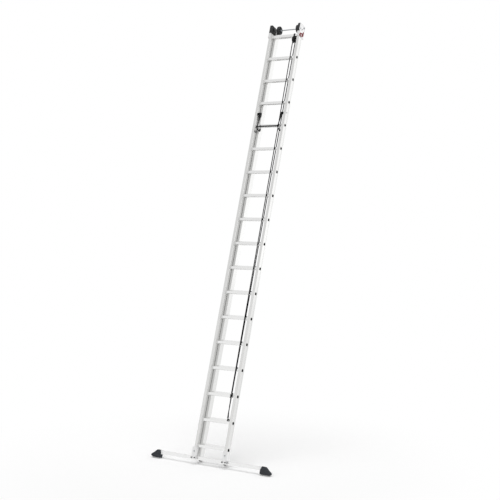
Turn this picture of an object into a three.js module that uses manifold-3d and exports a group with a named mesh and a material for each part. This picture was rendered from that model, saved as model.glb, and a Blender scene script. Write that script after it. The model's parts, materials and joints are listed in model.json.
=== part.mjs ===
// A two-section rope-operated extension ladder with a stabiliser bar, leaning as it stands in use.
// Millimetres. The ladder is laid out in its own upright frame and then leaned as a whole:
// x runs across it, y away from the climber, z up along the stiles from the lowest base rung.

import * as THREE from "three";
import { mergeVertices } from "three/addons/utils/BufferGeometryUtils.js";
import Module from "manifold-3d";

const wasm = await Module();
wasm.setup();

// ---------------------------------------------------------------- driving dimensions

const LEAN = THREE.MathUtils.degToRad(19.7); // away from the upright
const LOWEST_RUNG_HEIGHT = 183; // its centre line above the floor

const RUNG_COUNT = 18; // in each section
const RUNG_PITCH = 280;
const RUNG_SIZE = 30; // square tube
const RUNG_WALL = 2;

const WALL = 2; // of both stiles
const STILE_DEPTH = 74;
const CLEARANCE = 0.3; // between pieces that touch

const BASE_INNER = 170; // half widths of the base stiles' two faces
const BASE_OUTER = 200;
const BASE_BOTTOM = -80;
const BASE_TOP = 4795;
const RUNG_GROOVE = { half: 18, depth: 1.5 }; // along the outer face, holding the rung ends

const FLY_INNER = 140;
const FLY_OUTER = 168;
const FLY_Y = 55.5; // the fly's own centre plane, behind the base's
const FLY_RAISE = 23; // of its rungs above the base's, at rest
const FLY_BOTTOM = -140;
const FLY_TOP = 4855;
const FLY_CAP = 17; // solid plug closing each fly stile's foot

const INTERLOCK = { from: 29.5, to: 34.5, reach: 4, room: 2.5 }; // rib on the base, slot in the fly

const BAR = { half: 700, depth: 30, bottom: -148, top: -108, wall: 2.5 };
const FOOT = { inner: 612, bottomEnd: 705, topEnd: 668, tip: 737, tipZ: -152, top: -104, depth: 42 };

const BRACKET = {
  front: -42, // the plate facing the climber
  plate: 3.4,
  left: 163,
  right: 215,
  top: -16,
  bottom: -145,
};
const BRACKET_BOLT = { z: -130, radius: 8, reach: 14, at: [170, 208] };

const WHEEL = { radius: 49, width: 29, x: 124.5, bore: 6.3, hub: 15, tread: 4 };
const AXLE = { y: 50, z: 4870, radius: 6, half: 206 };
const HEAD = { front: -54, back: 74, bottom: 4800, top: 4894, corner: 24 };

const GUIDE = { bottom: 4736, top: 4797, cheekTop: 4819, front: -48, back: 65, plate: 6.6 };

const SHEAVE = { x: 123, z: 4706, radius: 33, half: 9, pitch: 29, groove: 23.8, bore: 4.3 };
const ROPE_RADIUS = 4.5;

// In its rest pose the hooks hang just clear of the fly rungs; 6.5 degrees rearward they lie under one.
const LOCK = {
  y: -12, // of its pivot
  z: 3786,
  eye: 16,
  inner: 131, // half width across the inner faces of its two hooks
  plate: 6,
  stub: 5,
  stubEnd: 178,
  hub: 13,
  bar: { y: -56.4, z: 3613.6, radius: 8, boss: 12 },
};

// ---------------------------------------------------------------- finishes

const FINISHES = {
  aluminium: { color: "#d3d6d9", roughness: 0.38, metalness: 0.9 },
  castAluminium: { color: "#bfc3c7", roughness: 0.5, metalness: 0.8 },
  blackSteel: { color: "#222426", roughness: 0.5, metalness: 0.5 },
  zinc: { color: "#a9adb1", roughness: 0.4, metalness: 0.9 },
  rubber: { color: "#34373c", roughness: 0.85, metalness: 0 },
  greyPlastic: { color: "#9a9ea2", roughness: 0.55, metalness: 0 },
  redPlastic: { color: "#7c1f26", roughness: 0.5, metalness: 0 },
  blackPlastic: { color: "#1d1f20", roughness: 0.5, metalness: 0 },
  rope: { color: "#45484c", roughness: 0.95, metalness: 0 },
};

// ---------------------------------------------------------------- solids

const UP_X = new THREE.Matrix4().makeBasis(
  new THREE.Vector3(0, 1, 0),
  new THREE.Vector3(0, 0, 1),
  new THREE.Vector3(1, 0, 0),
); // turns a shape drawn in (x, y) and extruded along z into one drawn in (y, z), along x

function solidOf(geometry) {
  const bare = geometry.clone();
  bare.deleteAttribute("normal");
  bare.deleteAttribute("uv");
  const merged = mergeVertices(bare, 1e-4);
  return new wasm.Manifold(
    new wasm.Mesh({
      numProp: 3,
      vertProperties: new Float32Array(merged.attributes.position.array),
      triVerts: new Uint32Array(merged.index.array),
    }),
  );
}

function box([x0, x1], [y0, y1], [z0, z1]) {
  const geometry = new THREE.BoxGeometry(x1 - x0, y1 - y0, z1 - z0);
  return solidOf(geometry.translate((x0 + x1) / 2, (y0 + y1) / 2, (z0 + z1) / 2));
}

function outline(points) {
  return new THREE.Shape(points.map(([a, b]) => new THREE.Vector2(a, b)));
}

// A section drawn in (x, y), standing from z0 to z1.
function column(shape, z0, z1) {
  const geometry = new THREE.ExtrudeGeometry(shape, { depth: z1 - z0, bevelEnabled: false });
  return solidOf(geometry.translate(0, 0, z0));
}

// A side view drawn in (y, z), running across from x0 to x1.
function slab(shape, x0, x1, curveSegments = 12) {
  const geometry = new THREE.ExtrudeGeometry(shape, {
    depth: x1 - x0,
    bevelEnabled: false,
    curveSegments,
  });
  return solidOf(geometry.applyMatrix4(UP_X).translate(x0, 0, 0));
}

function rod(radius, x0, x1, y, z, sides = 20) {
  const geometry = new THREE.CylinderGeometry(radius, radius, x1 - x0, sides);
  return solidOf(geometry.rotateZ(Math.PI / 2).translate((x0 + x1) / 2, y, z));
}

// A closed profile of [radius, x] points turned about an axle along x.
function turned(profile, x, y, z, sides = 36) {
  const points = profile.map(([radius, along]) => new THREE.Vector2(radius, along));
  const geometry = new THREE.LatheGeometry([...points, points[0]], sides);
  return solidOf(geometry.rotateZ(-Math.PI / 2).translate(x, y, z));
}

// A square tube of the given outline and wall, along x.
function squareTube(half, [y0, y1], [z0, z1], wall) {
  const bore = box([-half - 1, half + 1], [y0 + wall, y1 - wall], [z0 + wall, z1 - wall]);
  return box([-half, half], [y0, y1], [z0, z1]).subtract(bore);
}

const union = (solids) => wasm.Manifold.union(solids);
const mirrored = (solid) => solid.mirror([1, 0, 0]);

// A path that passes through its points one step at a time, however far apart they are.
class Route extends THREE.Curve {
  constructor(points) {
    super();
    this.points = points.map((p) => new THREE.Vector3(...p));
  }

  getPointAt(t, target = new THREE.Vector3()) {
    const index = Math.round(t * (this.points.length - 1));
    return target.copy(this.points[index]);
  }

  getTangentAt(t, target = new THREE.Vector3()) {
    const index = Math.round(t * (this.points.length - 1));
    const before = this.points[Math.max(index - 1, 0)];
    const after = this.points[Math.min(index + 1, this.points.length - 1)];
    return target.subVectors(after, before).normalize();
  }
}

function ropeAlong(points, radius, sides = 8) {
  const section = new THREE.Shape().absarc(0, 0, radius, 0, 2 * Math.PI);
  const ring = new THREE.Shape(section.getPoints(sides / 2).slice(0, -1));
  return solidOf(
    new THREE.ExtrudeGeometry(ring, {
      steps: points.length - 1,
      extrudePath: new Route(points),
      bevelEnabled: false,
    }),
  );
}

// ---------------------------------------------------------------- the assembly

const group = new THREE.Group();
const ladder = new THREE.Group();
ladder.rotation.x = -LEAN;
ladder.position.z = LOWEST_RUNG_HEIGHT;
group.add(ladder);

function add(name, solid, finish) {
  const made = solid.getMesh();
  const geometry = new THREE.BufferGeometry();
  geometry.setAttribute("position", new THREE.BufferAttribute(made.vertProperties, 3));
  geometry.setIndex(new THREE.BufferAttribute(made.triVerts, 1));
  geometry.computeVertexNormals();
  const mesh = new THREE.Mesh(geometry, new THREE.MeshStandardMaterial(FINISHES[finish]));
  mesh.name = name;
  ladder.add(mesh);
}

// The right-hand solid, and its mirror image on the left.
function addPair(name, solid, finish) {
  add(name + "_right", solid, finish);
  add(name + "_left", mirrored(solid), finish);
}

const rungHeights = Array.from({ length: RUNG_COUNT }, (_, i) => i * RUNG_PITCH);

// Square holes for the rung ends, through both webs of a stile.
function rungHoles([x0, x1], y, raise) {
  const half = RUNG_SIZE / 2 + CLEARANCE;
  return union(
    rungHeights.map((height) => {
      const z = height + raise;
      return box([x0 - 9, x1 + 9], [y - half, y + half], [z - half, z + half]);
    }),
  );
}

function baseStile() {
  const back = STILE_DEPTH / 2;
  const groove = BASE_OUTER - RUNG_GROOVE.depth;
  const slope = RUNG_GROOVE.half + RUNG_GROOVE.depth;
  const rib = BASE_INNER - INTERLOCK.reach;
  const section = outline([
    [BASE_INNER, -back],
    [BASE_OUTER, -back],
    [BASE_OUTER, -slope],
    [groove, -RUNG_GROOVE.half],
    [groove, RUNG_GROOVE.half],
    [BASE_OUTER, slope],
    [BASE_OUTER, back],
    [BASE_INNER, back],
    [BASE_INNER, INTERLOCK.to],
    [rib, INTERLOCK.to],
    [rib, INTERLOCK.from],
    [BASE_INNER, INTERLOCK.from],
  ]);
  section.holes.push(
    outline([
      [BASE_INNER + WALL, -back + WALL],
      [BASE_INNER + WALL, back - WALL],
      [BASE_OUTER - WALL, back - WALL],
      [BASE_OUTER - WALL, slope + 1],
      [groove - WALL, RUNG_GROOVE.half + 1],
      [groove - WALL, -RUNG_GROOVE.half - 1],
      [BASE_OUTER - WALL, -slope - 1],
      [BASE_OUTER - WALL, -back + WALL],
    ]),
  );
  const pivotHole = rod(LOCK.stub + CLEARANCE, BASE_INNER - 5, LOCK.stubEnd + 1, LOCK.y, LOCK.z);
  return column(section, BASE_BOTTOM, BASE_TOP)
    .subtract(rungHoles([BASE_INNER, BASE_OUTER], 0, 0))
    .subtract(pivotHole);
}

function flyStile() {
  const front = FLY_Y - STILE_DEPTH / 2;
  const back = FLY_Y + STILE_DEPTH / 2;
  const slotFloor = BASE_INNER - INTERLOCK.reach - INTERLOCK.room;
  const slotFrom = INTERLOCK.from - INTERLOCK.room;
  const slotTo = INTERLOCK.to + INTERLOCK.room;
  const rim = [
    [FLY_INNER, front],
    [FLY_OUTER, front],
    [FLY_OUTER, slotFrom],
    [slotFloor, slotFrom],
    [slotFloor, slotTo],
    [FLY_OUTER, slotTo],
    [FLY_OUTER, back],
    [FLY_INNER, back],
  ];
  const section = outline(rim);
  section.holes.push(
    outline([
      [FLY_INNER + WALL, front + WALL],
      [FLY_INNER + WALL, back - WALL],
      [FLY_OUTER - WALL, back - WALL],
      [FLY_OUTER - WALL, slotTo + WALL],
      [slotFloor - WALL, slotTo + WALL],
      [slotFloor - WALL, slotFrom - WALL],
      [FLY_OUTER - WALL, slotFrom - WALL],
      [FLY_OUTER - WALL, front + WALL],
    ]),
  );
  const plug = column(outline(rim), FLY_BOTTOM - FLY_CAP, FLY_BOTTOM + 1);
  return column(section, FLY_BOTTOM, FLY_TOP)
    .subtract(rungHoles([FLY_INNER, FLY_OUTER], FLY_Y, FLY_RAISE))
    .add(plug);
}

function addRungs(section, half, y, raise) {
  const reach = RUNG_SIZE / 2;
  rungHeights.forEach((height, i) => {
    const z = height + raise;
    const tube = squareTube(half, [y - reach, y + reach], [z - reach, z + reach], RUNG_WALL);
    add(`${section}_rung_${String(i + 1).padStart(2, "0")}`, tube, "aluminium");
  });
}

// ---- base section

addPair("base_stile", baseStile(), "aluminium");
addRungs("base", BASE_OUTER - RUNG_GROOVE.depth, 0, 0);

// ---- fly section

addPair("fly_stile", flyStile(), "aluminium");
addRungs("fly", FLY_OUTER, FLY_Y, FLY_RAISE);

// ---- stabiliser bar and its rubber feet

const barDepth = [-BAR.depth / 2, BAR.depth / 2];
add("crossbar", squareTube(BAR.half, barDepth, [BAR.bottom, BAR.top], BAR.wall), "aluminium");

// Height along the stiles at which depth y meets the floor.
const floorAt = (y) => (y * Math.sin(LEAN) - LOWEST_RUNG_HEIGHT) / Math.cos(LEAN);

function foot() {
  const half = FOOT.depth / 2;
  const side = new THREE.Shape([
    new THREE.Vector2(floorAt(-half) - 1, FOOT.inner),
    new THREE.Vector2(floorAt(-half) - 1, FOOT.bottomEnd),
    new THREE.Vector2(floorAt(0) + 12, FOOT.bottomEnd + 17),
    new THREE.Vector2(FOOT.tipZ - 10, FOOT.tip),
    new THREE.Vector2(FOOT.tipZ + 6, FOOT.tip),
    new THREE.Vector2(FOOT.top - 6, FOOT.topEnd + 8),
    new THREE.Vector2(FOOT.top, FOOT.topEnd - 2),
    new THREE.Vector2(FOOT.top, FOOT.inner),
  ]);
  // Drawn as (z, x) and extruded along y.
  const body = solidOf(
    new THREE.ExtrudeGeometry(side, { depth: FOOT.depth, bevelEnabled: false })
      .applyMatrix4(
        new THREE.Matrix4().makeBasis(
          new THREE.Vector3(0, 0, 1),
          new THREE.Vector3(1, 0, 0),
          new THREE.Vector3(0, 1, 0),
        ),
      )
      .translate(0, -half, 0),
  );
  const socketDepth = [barDepth[0] - CLEARANCE, barDepth[1] + CLEARANCE];
  const socketHeight = [BAR.bottom - CLEARANCE, BAR.top + CLEARANCE];
  const socket = box([FOOT.inner - 1, BAR.half + CLEARANCE], socketDepth, socketHeight);
  // Everything below the floor, as a wedge whose top is the floor plane.
  const reach = half + 10;
  const ground = slab(
    outline([
      [-reach, floorAt(-reach)],
      [-reach, floorAt(-reach) - 100],
      [reach, floorAt(-reach) - 100],
      [reach, floorAt(reach)],
    ]),
    FOOT.inner - 10,
    FOOT.tip + 10,
  );
  return body.subtract(socket).subtract(ground);
}

addPair("foot", foot(), "rubber");

// ---- brackets that carry the base stiles on the bar

function stileBracket() {
  const back = STILE_DEPTH / 2 + 3;
  const rear = BRACKET.front + BRACKET.plate;
  const flyFront = FLY_Y - STILE_DEPTH / 2;
  const outerFace = BASE_OUTER + CLEARANCE + 0.1;
  const innerFace = BASE_INNER - CLEARANCE - 0.1;
  const height = [BRACKET.bottom, BRACKET.top];
  const frontPlate = box([BRACKET.left, BRACKET.right], [BRACKET.front, rear], height);
  const outerWall = box([outerFace, outerFace + BRACKET.plate], [BRACKET.front, back], height);
  const innerWall = box(
    [innerFace - BRACKET.plate, innerFace],
    [BRACKET.front, flyFront - 3.5],
    height,
  );
  const seat = box(
    [innerFace, outerFace + 1],
    [BRACKET.front, back],
    [BAR.top + CLEARANCE, BAR.top + BRACKET.plate + 1],
  );
  const barSlot = box(
    [BRACKET.left - 1, BRACKET.right + 1],
    [barDepth[0] - CLEARANCE, barDepth[1] + CLEARANCE],
    [BRACKET.bottom - 1, BAR.top + CLEARANCE],
  );
  const bolts = BRACKET_BOLT.at.map((x) => {
    const head = new THREE.CylinderGeometry(
      BRACKET_BOLT.radius,
      BRACKET_BOLT.radius,
      BRACKET_BOLT.reach + 1,
      12,
    );
    const y = BRACKET.front - BRACKET_BOLT.reach / 2 + 0.5;
    return solidOf(head.translate(x, y, BRACKET_BOLT.z));
  });
  return union([frontPlate, outerWall, innerWall, seat]).subtract(barSlot).add(union(bolts));
}

addPair("stile_bracket", stileBracket(), "castAluminium");

// ---- guides on the base stile tops, round the uppermost rung's ends

function topGuide() {
  const outerFace = BASE_OUTER + CLEARANCE + 0.1;
  const halfDepth = STILE_DEPTH / 2;
  const height = [GUIDE.bottom, GUIDE.top];
  const cheek = box(
    [outerFace, outerFace + GUIDE.plate],
    [GUIDE.front, GUIDE.back],
    [GUIDE.bottom, GUIDE.cheekTop],
  );
  const frontLip = box(
    [BASE_INNER + 2, outerFace + 1],
    [GUIDE.front, -halfDepth - CLEARANCE - 0.1],
    height,
  );
  const rearBlock = box(
    [BASE_INNER + 1, outerFace + 1],
    [halfDepth + CLEARANCE + 0.1, GUIDE.back],
    height,
  );
  const rungZ = (RUNG_COUNT - 1) * RUNG_PITCH;
  const window = box(
    [outerFace - 2, outerFace + GUIDE.plate + 2],
    [-RUNG_SIZE / 2 - 2, RUNG_SIZE / 2 + 2],
    [rungZ - RUNG_SIZE / 2 - 2, rungZ + RUNG_SIZE / 2 + 2],
  );
  return union([cheek, frontLip, rearBlock]).subtract(window);
}

addPair("top_guide", topGuide(), "redPlastic");

// ---- head brackets, wheel axle and wall wheels

function headBracket() {
  const side = new THREE.Shape();
  side.moveTo(HEAD.front, HEAD.bottom);
  side.lineTo(HEAD.back, HEAD.bottom);
  side.lineTo(HEAD.back, HEAD.top - HEAD.corner);
  side.absarc(AXLE.y, AXLE.z, HEAD.corner, 0, Math.PI / 2);
  side.lineTo(HEAD.front + 6, HEAD.top);
  side.lineTo(HEAD.front, HEAD.top - 10);
  const body = slab(side, FLY_OUTER + CLEARANCE, BASE_OUTER, 6);
  const axleHole = rod(WHEEL.bore, FLY_OUTER - 1, BASE_OUTER + 1, AXLE.y, AXLE.z);
  return body.subtract(axleHole);
}

addPair("head_bracket", headBracket(), "blackSteel");
add("wheel_axle", rod(AXLE.radius, -AXLE.half, AXLE.half, AXLE.y, AXLE.z), "zinc");

function wallWheel() {
  const half = WHEEL.width / 2;
  const rim = WHEEL.radius - 13;
  const profile = [
    [WHEEL.bore, -half],
    [WHEEL.hub, -half],
    [WHEEL.hub + 2, -half + 4],
    [rim, -half + 4],
    [rim + 2, -half],
    [WHEEL.radius - WHEEL.tread, -half],
    [WHEEL.radius, -half + WHEEL.tread],
    [WHEEL.radius, half - WHEEL.tread],
    [WHEEL.radius - WHEEL.tread, half],
    [rim + 2, half],
    [rim, half - 4],
    [WHEEL.hub + 2, half - 4],
    [WHEEL.hub, half],
    [WHEEL.bore, half],
  ];
  return turned(profile, WHEEL.x, AXLE.y, AXLE.z);
}

addPair("wall_wheel", wallWheel(), "blackPlastic");

// ---- pulley under the uppermost base rung

const topRungZ = (RUNG_COUNT - 1) * RUNG_PITCH;
const rungBelow = topRungZ - RUNG_SIZE / 2;
const rungAbove = topRungZ + RUNG_SIZE / 2;

function pulleySheave() {
  const { half, radius, groove, bore } = SHEAVE;
  const profile = [
    [bore, -half],
    [radius, -half],
    [radius, -half + 2.5],
    [SHEAVE.pitch, -ROPE_RADIUS - 0.7],
    [groove + 1.3, -3.4],
    [groove, 0],
    [groove + 1.3, 3.4],
    [SHEAVE.pitch, ROPE_RADIUS + 0.7],
    [radius, half - 2.5],
    [radius, half],
    [bore, half],
  ];
  return turned(profile, SHEAVE.x, 0, SHEAVE.z, 32);
}

function pulleyBlock() {
  const cheekRadius = SHEAVE.radius + 3;
  const cheekTop = rungBelow - 0.6;
  const side = new THREE.Shape();
  side.moveTo(-20, cheekTop);
  side.lineTo(-cheekRadius, SHEAVE.z + 4);
  side.absarc(0, SHEAVE.z, cheekRadius, Math.PI, 2 * Math.PI);
  side.lineTo(cheekRadius, SHEAVE.z + 4);
  side.lineTo(20, cheekTop);
  const inner = SHEAVE.half + 0.6;
  const outer = inner + 4;
  const cheeks = [-outer, inner].map((x) => slab(side, SHEAVE.x + x, SHEAVE.x + x + 4, 8));
  const bridgeWidth = [SHEAVE.x - outer + 1, SHEAVE.x + outer - 1];
  const bridge = box(bridgeWidth, [-15, 15], [cheekTop - 3.6, cheekTop]);
  const pin = rod(SHEAVE.bore - CLEARANCE, SHEAVE.x - outer - 3, SHEAVE.x + outer + 3, 0, SHEAVE.z);
  return union([...cheeks, bridge, pin]);
}

// A strap over the rung, bolted through the block's bridge.
function pulleyHanger() {
  const inside = RUNG_SIZE / 2 + CLEARANCE + 0.1;
  const outside = inside + 3.6;
  const width = [SHEAVE.x - 8.5, SHEAVE.x + 8.5];
  const strap = box(width, [-outside, outside], [rungBelow - 5, rungAbove + 4]);
  const room = box(
    [width[0] - 1, width[1] + 1],
    [-inside, inside],
    [rungBelow - 6, rungAbove + CLEARANCE + 0.1],
  );
  return strap.subtract(room);
}

add("pulley_sheave", pulleySheave(), "greyPlastic");
add("pulley_block", pulleyBlock(), "blackSteel");
add("pulley_hanger", pulleyHanger(), "blackSteel");

// ---- ropes

const KNOT = { x: 130, y: -29, z: 558, size: [13, 12, 32] };
const TIE = { x: 100, z: RUNG_PITCH + FLY_RAISE, ropeGap: 0.6 };
const TURN_STEPS = 12; // of the half turn over the sheave

function haulRope() {
  const over = Array.from({ length: TURN_STEPS + 1 }, (_, i) => {
    const angle = (Math.PI * i) / TURN_STEPS;
    return [
      SHEAVE.x,
      SHEAVE.pitch * Math.cos(angle),
      SHEAVE.z + SHEAVE.pitch * Math.sin(angle),
    ];
  });
  const strand = ropeAlong(
    [...over, [124.8, -23, 3640], [127.5, -23, 2100], [KNOT.x, -25, KNOT.z + 20]],
    ROPE_RADIUS,
    10,
  );
  const knot = solidOf(
    new THREE.SphereGeometry(1, 12, 8)
      .scale(...KNOT.size)
      .translate(KNOT.x, KNOT.y, KNOT.z),
  );
  const tail = ropeAlong(
    [
      [KNOT.x, KNOT.y + 2, KNOT.z - 24],
      [132, -25, 440],
      [137, -17, 350],
      [140, -4, 322],
    ],
    3.5,
  );
  return union([strand, knot, tail]);
}

function liftRope() {
  const end = [TIE.x, SHEAVE.pitch + 4, TIE.z + RUNG_SIZE / 2 + 8];
  return ropeAlong([[SHEAVE.x, SHEAVE.pitch, SHEAVE.z - TIE.ropeGap], end], ROPE_RADIUS, 10);
}

// The lifting rope's turn round a fly rung, and its knot.
function ropeTie() {
  const inside = RUNG_SIZE / 2 + CLEARANCE + 0.1;
  const outside = inside + 2 * ROPE_RADIUS - 2;
  const turn = box(
    [TIE.x - ROPE_RADIUS, TIE.x + ROPE_RADIUS],
    [FLY_Y - outside, FLY_Y + outside],
    [TIE.z - outside, TIE.z + outside],
  );
  const room = box(
    [TIE.x - 9, TIE.x + 9],
    [FLY_Y - inside, FLY_Y + inside],
    [TIE.z - inside, TIE.z + inside],
  );
  return turn.subtract(room);
}

add("haul_rope", haulRope(), "rope");
add("lift_rope", liftRope(), "rope");
add("rope_tie", ropeTie(), "rope");

// ---- cleat on the second base rung

const CLEAT = { x: 147, reach: 20, horn: 6, z: RUNG_PITCH + RUNG_SIZE / 2 + CLEARANCE };

function ropeCleat() {
  const base = box([CLEAT.x - 11, CLEAT.x + 11], [-12, 12], [CLEAT.z, CLEAT.z + 11]);
  const horns = rod(CLEAT.horn, CLEAT.x - CLEAT.reach, CLEAT.x + CLEAT.reach, 0, CLEAT.z + 14, 12);
  return base.add(horns);
}

add("rope_cleat", ropeCleat(), "blackPlastic");

// ---- rung lock: two hooks on stub pivots, joined by a bar across the front

// Each hook runs down in front of a base rung and back underneath it to an upturned lip.
function lockHook() {
  const hookX = [LOCK.inner, LOCK.inner + LOCK.plate];
  const hook = slab(
    outline([
      [LOCK.y - 8, LOCK.z],
      [-32, 3696],
      [-49, 3652],
      [-51, 3604],
      [-38, 3588],
      [-10, 3581],
      [24, 3581],
      [36, 3590],
      [39, 3604],
      [39, 3628.5],
      [28, 3625.5],
      [26, 3604],
      [18, 3595],
      [-8, 3595],
      [-28, 3601],
      [-35, 3612],
      [-36, 3656],
      [-21, 3698],
      [LOCK.y + 8, LOCK.z],
    ]),
    ...hookX,
  );
  const eye = rod(LOCK.eye, ...hookX, LOCK.y, LOCK.z, 24);
  const boss = rod(LOCK.bar.boss, ...hookX, LOCK.bar.y, LOCK.bar.z, 16);
  const hub = rod(LOCK.hub, LOCK.inner + 1, BASE_INNER - 2.5, LOCK.y, LOCK.z, 20);
  const stub = rod(LOCK.stub, LOCK.inner + 1, LOCK.stubEnd, LOCK.y, LOCK.z, 16);
  return union([hook, eye, boss, hub, stub]);
}

function lockFrame() {
  const hook = lockHook();
  const reach = LOCK.inner + 1;
  const bar = rod(LOCK.bar.radius, -reach, reach, LOCK.bar.y, LOCK.bar.z, 16);
  return union([hook, mirrored(hook), bar]);
}

add("lock_frame", lockFrame(), "blackSteel");

// ---- the floor point under the middle of the whole ladder becomes the origin

group.updateMatrixWorld(true);
const bounds = new THREE.Box3().setFromObject(group, true);
const middle = bounds.getCenter(new THREE.Vector3());
ladder.position.sub(new THREE.Vector3(middle.x, middle.y, bounds.min.z));

export default group;
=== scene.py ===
"""The looks of a two-section, rope-operated extension ladder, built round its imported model.

Sizes are millimetres in the ladder's own upright frame: x runs across it, y away from the climber
and z up along the stiles from the lowest base rung. The bench's one matrix leans it and turns it
to metres.
"""

from __future__ import annotations

import json
import logging
import math
from dataclasses import dataclass
from enum import Enum
from functools import partial
from typing import Callable, Iterable, Sequence, Union

import bmesh
import bpy
from bmesh.types import BMEdge, BMesh, BMFace, BMVert
from mathutils import Matrix, Vector

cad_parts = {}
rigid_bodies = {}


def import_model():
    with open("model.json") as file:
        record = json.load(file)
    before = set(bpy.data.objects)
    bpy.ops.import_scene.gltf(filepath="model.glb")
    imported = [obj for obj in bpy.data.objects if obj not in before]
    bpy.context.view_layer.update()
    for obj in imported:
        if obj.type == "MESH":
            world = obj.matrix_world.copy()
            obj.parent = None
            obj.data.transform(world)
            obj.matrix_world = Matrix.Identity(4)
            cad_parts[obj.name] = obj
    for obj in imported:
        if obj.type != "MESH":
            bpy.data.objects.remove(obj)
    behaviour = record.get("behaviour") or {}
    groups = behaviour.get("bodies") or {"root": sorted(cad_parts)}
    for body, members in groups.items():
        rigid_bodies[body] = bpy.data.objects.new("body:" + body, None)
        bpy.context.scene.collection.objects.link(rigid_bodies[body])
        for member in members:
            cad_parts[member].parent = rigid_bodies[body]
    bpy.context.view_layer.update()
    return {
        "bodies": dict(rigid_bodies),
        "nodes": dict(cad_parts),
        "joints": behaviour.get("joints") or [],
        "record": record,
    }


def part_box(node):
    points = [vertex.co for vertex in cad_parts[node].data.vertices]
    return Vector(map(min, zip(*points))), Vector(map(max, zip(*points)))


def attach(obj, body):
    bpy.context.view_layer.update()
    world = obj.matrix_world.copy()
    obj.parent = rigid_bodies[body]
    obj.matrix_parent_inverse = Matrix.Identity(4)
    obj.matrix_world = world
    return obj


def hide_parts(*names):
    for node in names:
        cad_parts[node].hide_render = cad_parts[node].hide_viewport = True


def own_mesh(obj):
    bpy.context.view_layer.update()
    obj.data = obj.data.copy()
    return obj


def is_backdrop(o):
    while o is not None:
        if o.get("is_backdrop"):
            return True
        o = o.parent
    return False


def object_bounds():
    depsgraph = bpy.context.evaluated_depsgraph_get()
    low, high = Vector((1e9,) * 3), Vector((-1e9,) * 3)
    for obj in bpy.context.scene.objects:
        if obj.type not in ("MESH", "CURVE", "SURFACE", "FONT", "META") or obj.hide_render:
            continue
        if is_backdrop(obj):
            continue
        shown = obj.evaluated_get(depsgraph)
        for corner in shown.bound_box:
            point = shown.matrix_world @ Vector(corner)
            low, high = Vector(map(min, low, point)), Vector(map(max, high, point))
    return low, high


log = logging.getLogger("extension_ladder")

Point2 = tuple[float, float]
Point3 = tuple[float, float, float]
Socket = bpy.types.NodeSocket
SocketValue = Union[float, tuple, Socket]

MM = 0.001
ACROSS = Vector((1.0, 0.0, 0.0))
AWAY = Vector((0.0, 1.0, 0.0))
UP = Vector((0.0, 0.0, 1.0))


class Body(Enum):
    """The rigid bodies that pieces ride on."""

    BASE = "base"
    FLY = "fly"
    WHEEL_RIGHT = "wheel_right"
    WHEEL_LEFT = "wheel_left"
    LOCK = "lock"
    SHEAVE = "sheave"


class Slot(Enum):
    """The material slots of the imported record."""

    PROFILE = "aluminium_profile"
    CAST = "cast_aluminium"
    BLACK_STEEL = "black_steel"
    ZINC = "zinc_steel"
    FOOT_RUBBER = "foot_rubber"
    WHEEL = "wheel_plastic"
    RED = "red_plastic"
    GREY = "grey_plastic"
    BLACK_PLASTIC = "black_plastic"
    ROPE = "rope_fibre"


class Side(Enum):
    """The climber's right and left; everything paired is drawn on the right."""

    RIGHT = "right"
    LEFT = "left"


class Grain(Enum):
    """The way a drawn or moulded surface's fine lines run."""

    ALONG = (0.0, 0.0, 1.0)
    ACROSS = (1.0, 0.0, 0.0)
    NONE = (0.0, 0.0, 0.0)


# ---------------------------------------------------------------- shared sizes of the ladder


@dataclass(frozen=True)
class Ladder:
    """The driving sizes that several sub-assemblies share."""

    rungs: int = 18
    pitch: float = 280.0
    rung: float = 30.0
    stile_depth: float = 74.0
    base_inner: float = 170.0
    base_outer: float = 200.0
    base_bottom: float = -80.0
    base_top: float = 4795.0
    groove: float = 1.5
    fly_inner: float = 140.0
    fly_outer: float = 168.0
    fly_y: float = 55.5
    fly_raise: float = 23.0
    travel: float = 3360.0

    @property
    def top_rung(self) -> float:
        """Height of the uppermost base rung."""
        return (self.rungs - 1) * self.pitch


LADDER = Ladder()


# ---------------------------------------------------------------- sketching in mesh code


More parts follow.
